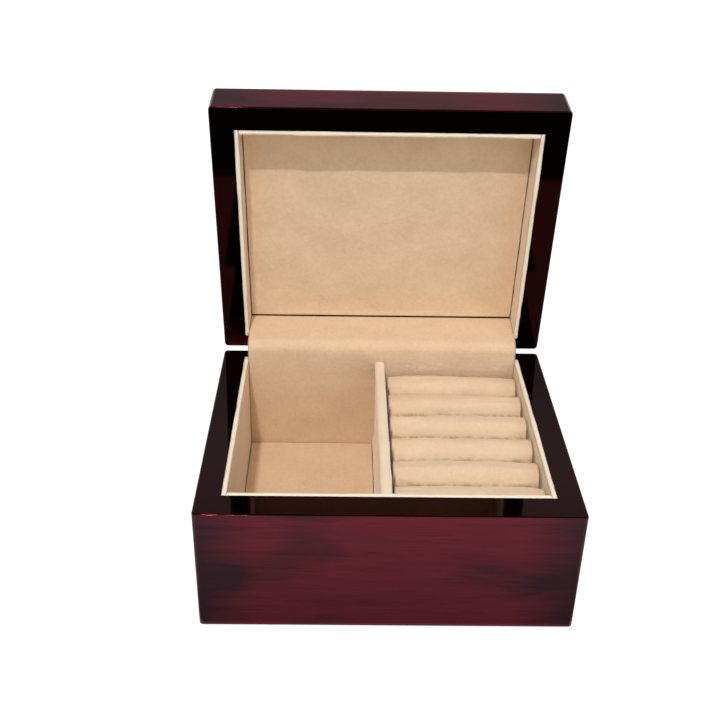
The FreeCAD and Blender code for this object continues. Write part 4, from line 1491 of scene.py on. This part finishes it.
@dataclass(frozen=True)
class BackCloth:
    """The one velour cloth that lines both backs and crosses the hinge.

    The lines and the crepe are two kinds of creases, each given by its spacing along the
    axes, its seed and its width.
    """

    thickness: float = 0.5 * MM
    clearance: float = 0.05 * MM    # between the cloth and the card that it covers
    across_spacing: float = 0.8 * MM
    bend: float = 5.5 * MM          # where it turns from the wall to the lid
    gathered: float = 17.0 * MM     # it starts to be gathered this far below the rim
    gather_full: float = 4.0 * MM   # and is fully gathered this far below it
    gather_over: tuple[float, float] = (1.0 * MM, 5.0 * MM)     # it fades this far above it
    least_gather: float = 0.35      # away from the divider and the rolls
    pull_x: float = -4.0 * MM       # where the divider's end pulls at it
    pull_reach: float = 22.0 * MM
    lines: tuple[Triple, int, float] = ((11 * MM, 4 * MM, 1.0), 81, 0.20)
    crepe: tuple[Triple, int, float] = ((4 * MM, 2.4 * MM, 1.0), 82, 0.30)
    crepe_share: float = 0.4        # depth of the crepe, as a share of the creases'
    crease_depth: float = 0.16 * MM
    puff: float = 0.6               # height between the creases, as a share of their depth
    slack: Undulation = Undulation(0.06 * MM, (26 * MM, 22 * MM, 1.0), 83)
    sunk: float = 0.1 * MM          # the slack sinks no further in than this
    held_end: float = 3.0 * MM      # and dies away over this length at both ends
    painted_light_over_rolls: float = 0.20           # painted light: the cloth over the rolls is made paler
    painted_light_reach: float = 9.0 * MM
    painted_wall_shade: float = 0.06          # painted shade: the upright wall of the cloth is made darker
    painted_wall_shade_end: tuple[float, float] = (2.0 * MM, 8.0 * MM)        # that fades above the rim
    crepe_shade: float = 0.05        # painted shade in the crepe
    edge_shade: float = 0.6         # painted shade at the sides of the cloth
    edge_shade_band: float = 0.8 * MM     # and how far in it reaches

    def path(self, frame: BoxFrame) -> ClothPath:
        """Middle line from the floor of the base to the ceiling of the lid.

        The cloth is stiff enough to stand up from the wall and to lie on the line of the
        open lid's back, so its one corner is where those two lines meet.

        Args:
            frame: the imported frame.

        Returns:
            The path: up the wall, and then along the back of the open lid.
        """
        card = frame.span("base_lining_back")
        face = card.low[1] - self.thickness / 2 - self.clearance
        shut = np.array([[0, face, frame.lid_rim],
                         [0, face, frame.span("lid_ceiling_pad").low[2]]])
        near, far = frame.opened(shut)[:, 1:]
        slope = (far[1] - near[1]) / (far[0] - near[0])
        corner = near[1] - (near[0] - face) * slope
        corners = np.array([[face, card.low[2]], [face, corner], far])
        return ClothPath(corners, np.array([0, self.bend, 0]))

    def gather(self, flat: np.ndarray, rim: float) -> np.ndarray:
        """How strongly the cloth is gathered under the rim of the base.

        It grows smoothly up to the rim, and is strongest beside the divider and over the
        ring rolls: least + (1 - least) max(exp(-((x - pull) / reach)^2), step(x)).

        Args:
            flat: points of (across, along, 0).
            rim: where the rim lies along the cloth.

        Returns:
            A share from 0 to 1 at each point.
        """
        x, along = flat[..., 0], flat[..., 1]
        height = (smooth_step(along, rim - self.gathered, rim - self.gather_full)
                  * (1 - smooth_step(along - rim, *self.gather_over)))
        pulled = np.exp(-(((x - self.pull_x) / self.pull_reach) ** 2))
        over_rolls = smooth_step(x, self.pull_x, self.pull_x + self.pull_reach)
        strength = np.maximum(pulled, over_rolls)
        return height * (self.least_gather + (1 - self.least_gather) * strength)

    def build(self, shop: Workshop) -> None:
        """Make the sheet, crease it and thicken it.

        A point stands off the middle line by the unevenness all over, less the depth of
        the creases times the gather.

        Args:
            shop: the workshop.
        """
        frame = shop.frame
        span = frame.span("hinge_cloth")
        path = self.path(frame)
        line = path.line()
        reach = length_along(line)
        flow = np.gradient(line, axis=0)
        flow /= np.linalg.norm(flow, axis=1, keepdims=True)
        x, along = np.meshgrid(spaced(span.low[0], span.high[0], self.across_spacing), reach,
                               indexing="ij")
        flat = np.stack([x, along, np.zeros_like(x)], axis=-1)
        rim = frame.base_rim - path.corners[0, 1]
        gather = self.gather(flat, rim)
        lines, crepe = creases(flat, *self.lines), creases(flat, *self.crepe)
        ends = np.clip(np.minimum(along, reach[-1] - along) / self.held_end, 0, 1)
        even = np.clip(self.slack.at(flat), -self.sunk, None) * ends
        puffed = self.puff - lines - self.crepe_share * crepe
        lift = gather * self.crease_depth * puffed + even
        y = line[:, 0] - flow[:, 1] * lift
        z = line[:, 1] + flow[:, 0] * lift
        points = np.stack([x, y, z], axis=-1).reshape(-1, 3)
        index = np.arange(len(points)).reshape(x.shape)
        edge = np.minimum(x - span.low[0], span.high[0] - x)
        # painted shade on the upright wall, fading above the rim
        wall_shade = self.painted_wall_shade * (1 - smooth_step(along - rim, *self.painted_wall_shade_end))
        # painted shade in the crepe and along the cloth's sides
        painted_shade = np.maximum(wall_shade + self.crepe_shade * gather * crepe,
                          self.edge_shade * (1 - smooth_step(edge, 0, self.edge_shade_band)))
        # painted light: the cloth over the rolls is made paler
        painted_light_over_rolls = self.painted_light_over_rolls * gather * smooth_step(x, self.pull_x,
                                                      self.pull_x + self.painted_light_reach)
        traits = {Trait.PLACE: flat, Trait.SEAM: painted_shade, Trait.WEAR: painted_light_over_rolls,
                  Trait.CREPE: gather}
        piece = new_piece("back_cloth_velour", points, grid_faces(index), traits)
        solid = piece.modifiers.new("cloth_thickness", "SOLIDIFY")
        solid.thickness = self.thickness
        solid.offset = 0.0
        arrives = frame.opened(np.array([0, line[0, 0], frame.lid_rim]))
        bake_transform(piece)
        piece.data.materials.append(shop.finishes.velour)
        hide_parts("hinge_cloth", "base_lining_back", "lid_lining_back")
        LOG.info("back cloth: %.1f by %.1f mm", span.size[0] / MM, reach[-1] / MM)


# ------------------------------------------------------------------ hidden and small pieces
@dataclass(frozen=True)
class Hinges:
    """The two brass stop hinges: leaves, pins and screws."""

    nodes: tuple[tuple[Part, tuple[str, ...]], ...] = (
        (Part.BASE, ("hinge_base_leaf_left", "hinge_base_leaf_right", "hinge_pin_left",
                     "hinge_pin_right", "hinge_base_screws")),
        (Part.LID, ("hinge_lid_leaf_left", "hinge_lid_leaf_right", "hinge_lid_screws")))

    def build(self, shop: Workshop) -> None:
        """Dress every piece of the hinges.

        Args:
            shop: the workshop.
        """
        for part, nodes in self.nodes:
            for node in nodes:
                dress(shop, part, shop.finishes.brass, node)


@dataclass(frozen=True)
class Underside:
    """Bottom panel, the card under the ring rolls and the felt under the base."""

    felt_inset: float = 0.5 * MM
    felt_waver: Undulation = Undulation(0.25 * MM, (18 * MM, 18 * MM, 1.0), 91)
    waver_limit: float = 0.4 * MM
    felt_spacing: float = 2.0 * MM
    felt_crease: float = 40.0       # edges that turn by more degrees than this stay crisp
    edge_power: int = 9             # the higher, the closer to the edge it is drawn in

    def felt(self, shop: Workshop) -> None:
        """Felt sheet with a slightly uneven cut edge.

        A point at the shares u and v of the half width and half depth is drawn in by
        (inset + waver) u^power and (inset + waver) v^power.

        Args:
            shop: the workshop.
        """
        node = "base_underside_felt"
        span = shop.frame.span(node)
        x, y = np.meshgrid(spaced(span.low[0], span.high[0], self.felt_spacing),
                           spaced(span.low[1], span.high[1], self.felt_spacing), indexing="ij")
        wave = self.felt_waver.at(np.stack([x, y, np.zeros_like(x)], axis=-1))
        inset = self.felt_inset + np.clip(wave, -self.waver_limit, self.waver_limit)
        half = span.size / 2
        x = x - inset * ((x - span.middle[0]) / half[0]) ** self.edge_power
        y = y - inset * ((y - span.middle[1]) / half[1]) ** self.edge_power
        points, faces = slab(x, y, span.high[2], span.low[2])
        piece = new_piece("underside_felt_sheet", points, faces, {Trait.PLACE: points},
                          math.radians(self.felt_crease))
        shop.fit(piece, Part.BASE, shop.finishes.felt, node)

    def build(self, shop: Workshop) -> None:
        """Dress the panel and the card, and lay the felt.

        Args:
            shop: the workshop.
        """
        finishes = shop.finishes
        for node, slot, material in (("base_bottom_panel", Slot.BOARD, finishes.board),
                                     ("ring_insert_riser", Slot.CARD, finishes.card),
                                     ("ring_insert_board", Slot.CARD, finishes.card)):
            dress(shop, Part.BASE, material, node)
        self.felt(shop)


# ------------------------------------------------------------------ studio
@dataclass(frozen=True)
class View:
    """The camera: where it stands, how it is turned and how its picture is framed."""

    place: Triple = (-0.02342, -0.43259, 0.36194)
    yaw: float = -0.917             # degrees, as the next two are
    pitch: float = 29.105
    roll: float = -1.088
    lens: float = 51.15             # millimetres, as the sensor is
    sensor: float = 36.0
    shift_x: float = 0.0072         # shares of the sensor's width
    shift_y: float = -0.0391

    def build(self) -> None:
        """Make the camera and use it.

        The camera looks along Y, is rolled about that line, pitched down about X and
        turned about Z, in that order.
        """
        data = bpy.data.cameras.new("view")
        data.lens = self.lens
        data.sensor_width = self.sensor
        data.shift_x = self.shift_x
        data.shift_y = self.shift_y
        camera = bpy.data.objects.new("view", data)
        bpy.context.scene.collection.objects.link(camera)
        level = Matrix.Rotation(math.pi / 2, 4, "X")
        turned = (Matrix.Rotation(math.radians(self.yaw), 4, "Z")
                  @ Matrix.Rotation(-math.radians(self.pitch), 4, "X")
                  @ Matrix.Rotation(math.radians(self.roll), 4, "Y") @ level)
        camera.matrix_world = Matrix.Translation(Vector(self.place)) @ turned
        bpy.context.scene.camera = camera


@dataclass(frozen=True)
class SoftLamp:
    """An upright rectangular lamp that points at the box."""

    name: str
    place: Triple
    width: float
    height: float
    power: float
    colour: Colour = (1.0, 0.97, 0.93)
    target: Triple = (0.0, 0.0, 0.08)
    matt: bool = True       # it lights matt surfaces
    polished: bool = True   # it is mirrored by polished ones

    def build(self) -> None:
        """Make the lamp."""
        data = bpy.data.lights.new(self.name, "AREA")
        data.shape = "RECTANGLE"
        data.size = self.width
        data.size_y = self.height
        data.energy = self.power
        data.color = self.colour
        lamp = bpy.data.objects.new(self.name, data)
        lamp.location = self.place
        aim = Vector(self.target) - Vector(self.place)
        lamp.rotation_mode = "QUATERNION"
        lamp.rotation_quaternion = aim.to_track_quat("-Z", "Y")
        lamp.visible_diffuse = self.matt
        lamp.visible_glossy = self.polished
        bpy.context.scene.collection.objects.link(lamp)


@dataclass(frozen=True)
class Studio:
    """Pale floor, soft lamps, a pale horizon under a dim ceiling, and the camera."""

    lamps: tuple[SoftLamp, ...] = (
        SoftLamp("key_lamp", (-0.283, -1.412, 2.062), 0.13, 0.05, 28.4, polished=False),
        SoftLamp("low_lamp", (0.2, -2.2, 0.30), 1.6, 0.5, 6.0, polished=False),
        SoftLamp("glint_lamp", (-0.34, -1.62, 1.80), 0.12, 0.012, 7.0, matt=False),
        SoftLamp("fill_lamp", (1.3, -1.6, 1.1), 1.2, 1.2, 5.0),
    )
    floor_half: float = 6.0
    floor_top: float = -0.2 * MM
    floor_greys: tuple[float, float] = (0.50, 0.52)
    floor_glow: float = 0.76
    mottle: Grain = Grain(1.0, 2.0, stretch=(3.0, 3.0, 3.0))
    card_top: float = 1.0 * MM
    dark_cards: tuple[Rectangle, ...] = ((-0.8, -0.80, 0.8, -0.187),
                                         (-0.108, -0.187, 0.118, -0.075))
    dark_greys: tuple[float, float] = (0.004, 0.007)
    grey_cards: tuple[Rectangle, ...] = ((-0.8, -0.187, -0.108, -0.075),
                                         (0.118, -0.187, 0.8, -0.075),
                                         (-0.8, -0.075, -0.092, 0.075),
                                         (0.092, -0.075, 0.8, 0.075))
    grey_greys: tuple[float, float] = (0.44, 0.50)
    seen_behind: Stops = ((0, 1.0), (18, 1.0), (27, 0.24), (31, 0.24), (36, 0.50), (48, 0.50),
                          (62, 0.12), (90, 0.12))
    seen_in_front: Stops = ((0, 1.0), (18, 1.0), (27, 0.12), (90, 0.12))
    lit_sky: Stops = ((0, 0.36), (20, 0.38), (45, 0.54), (90, 0.78))
    turnover: float = 0.1           # the sky in front runs into the one behind within this

    def flat_piece(self, name: str, rectangle: Rectangle, top: float,
                   greys: tuple[float, float]) -> tuple[bpy.types.Object, Finish]:
        """A level rectangle of the stage, its grey faintly uneven.

        Args:
            name: its name.
            rectangle: where it lies.
            top: its height.
            greys: its darkest and its palest grey.

        Returns:
            The object, and its finish.
        """
        left, front, right, back = rectangle
        corners = np.array([[left, front, top], [right, front, top],
                            [right, back, top], [left, back, top]])
        piece = new_piece(name, corners, [(0, 1, 2, 3)], {Trait.PLACE: corners})
        finish = Finish(name)
        dark, pale = ((grey, grey, grey) for grey in greys)
        tone = finish.share(finish.noise(self.mottle), self.mottle)
        finish.wire(finish.mix(tone, dark, pale), finish.shader.inputs["Base Color"])
        finish.set(Roughness=1.0, Specular_IOR_Level=0.0)
        piece.data.materials.append(finish.material)
        return piece, finish

    def floor(self) -> None:
        """A wide pale floor that shows white to the camera where nothing shades it."""
        half = self.floor_half
        _, finish = self.flat_piece("floor", (-half, -half, half, half), self.floor_top,
                                    self.floor_greys)
        finish.set(Emission_Color=(1.0, 1.0, 1.0, 1.0))
        finish.wire(finish.combine("MULTIPLY", finish.seen_rays(), self.floor_glow),
                    finish.shader.inputs["Emission Strength"])

    def cards(self) -> None:
        """Dark and grey cards flat on the floor, which only polished surfaces see."""
        for name, rectangles, greys in (("dark_card", self.dark_cards, self.dark_greys),
                                        ("grey_card", self.grey_cards, self.grey_greys)):
            for number, rectangle in enumerate(rectangles, 1):
                piece, _ = self.flat_piece(f"{name}_{number}", rectangle, self.card_top, greys)
                for rays in ("visible_camera", "visible_diffuse", "visible_shadow",
                             "visible_transmission"):
                    setattr(piece, rays, False)

    def bands(self, wiring: Wiring, height: Socket, stops: Stops) -> Socket:
        """Grey of a sky: the level of its stops at a height, the sine of the angle.

        Args:
            wiring: the world's nodes.
            height: upward part of the direction in which a ray goes.
            stops: the levels, up to 90 degrees.

        Returns:
            Socket of the grey.
        """
        ramp = wiring.add("ShaderNodeValToRGB")
        elements = ramp.color_ramp.elements
        while len(elements) < len(stops):
            elements.new(0.5)
        for element, (degrees, level) in zip(elements, stops):
            element.position = math.sin(math.radians(degrees))
            element.color = (level, level, level, 1.0)
        wiring.wire(height, ramp.inputs["Fac"])
        return ramp.outputs["Color"]

    def sky(self) -> None:
        """World light by height above the horizon.

        Matt surfaces are lit by one row of levels. The camera and polished surfaces see
        another one behind the box, and a darker one in front of it.
        """
        world = bpy.data.worlds.new("studio")
        world.use_nodes = True
        bpy.context.scene.world = world
        wiring = Wiring(world.node_tree)
        split = wiring.add("ShaderNodeSeparateXYZ")
        wiring.wire(wiring.add("ShaderNodeTexCoord").outputs["Generated"], split.inputs["Vector"])
        in_front, behind, lit = (self.bands(wiring, split.outputs["Z"], stops) for stops in
                                 (self.seen_in_front, self.seen_behind, self.lit_sky))
        backward = wiring.spread(split.outputs["Y"], -self.turnover, self.turnover)
        seen = wiring.mix(backward, in_front, behind)
        background = next(node for node in wiring.tree.nodes if node.type == "BACKGROUND")
        wiring.wire(wiring.mix(wiring.seen_rays(), lit, seen), background.inputs["Color"])

    def build(self) -> None:
        """Make the studio."""
        self.floor()
        self.cards()
        self.sky()
        for lamp in self.lamps:
            lamp.build()
        View().build()
        bpy.context.scene.view_settings.view_transform = "Standard"


def main() -> None:
    """Load the frame and build every piece in order."""
    logging.basicConfig(level=logging.INFO, format="%(message)s")
    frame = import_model()
    shop = Workshop(BoxFrame(frame), Finishes())
    Studio().build()
    for assembly in (Woodwork(), Linings(), Divider(), RingRolls(), FlatPads(), BackCloth(),
                     Hinges(), Underside()):
        assembly.build(shop)


if __name__ == "__main__":
    main()
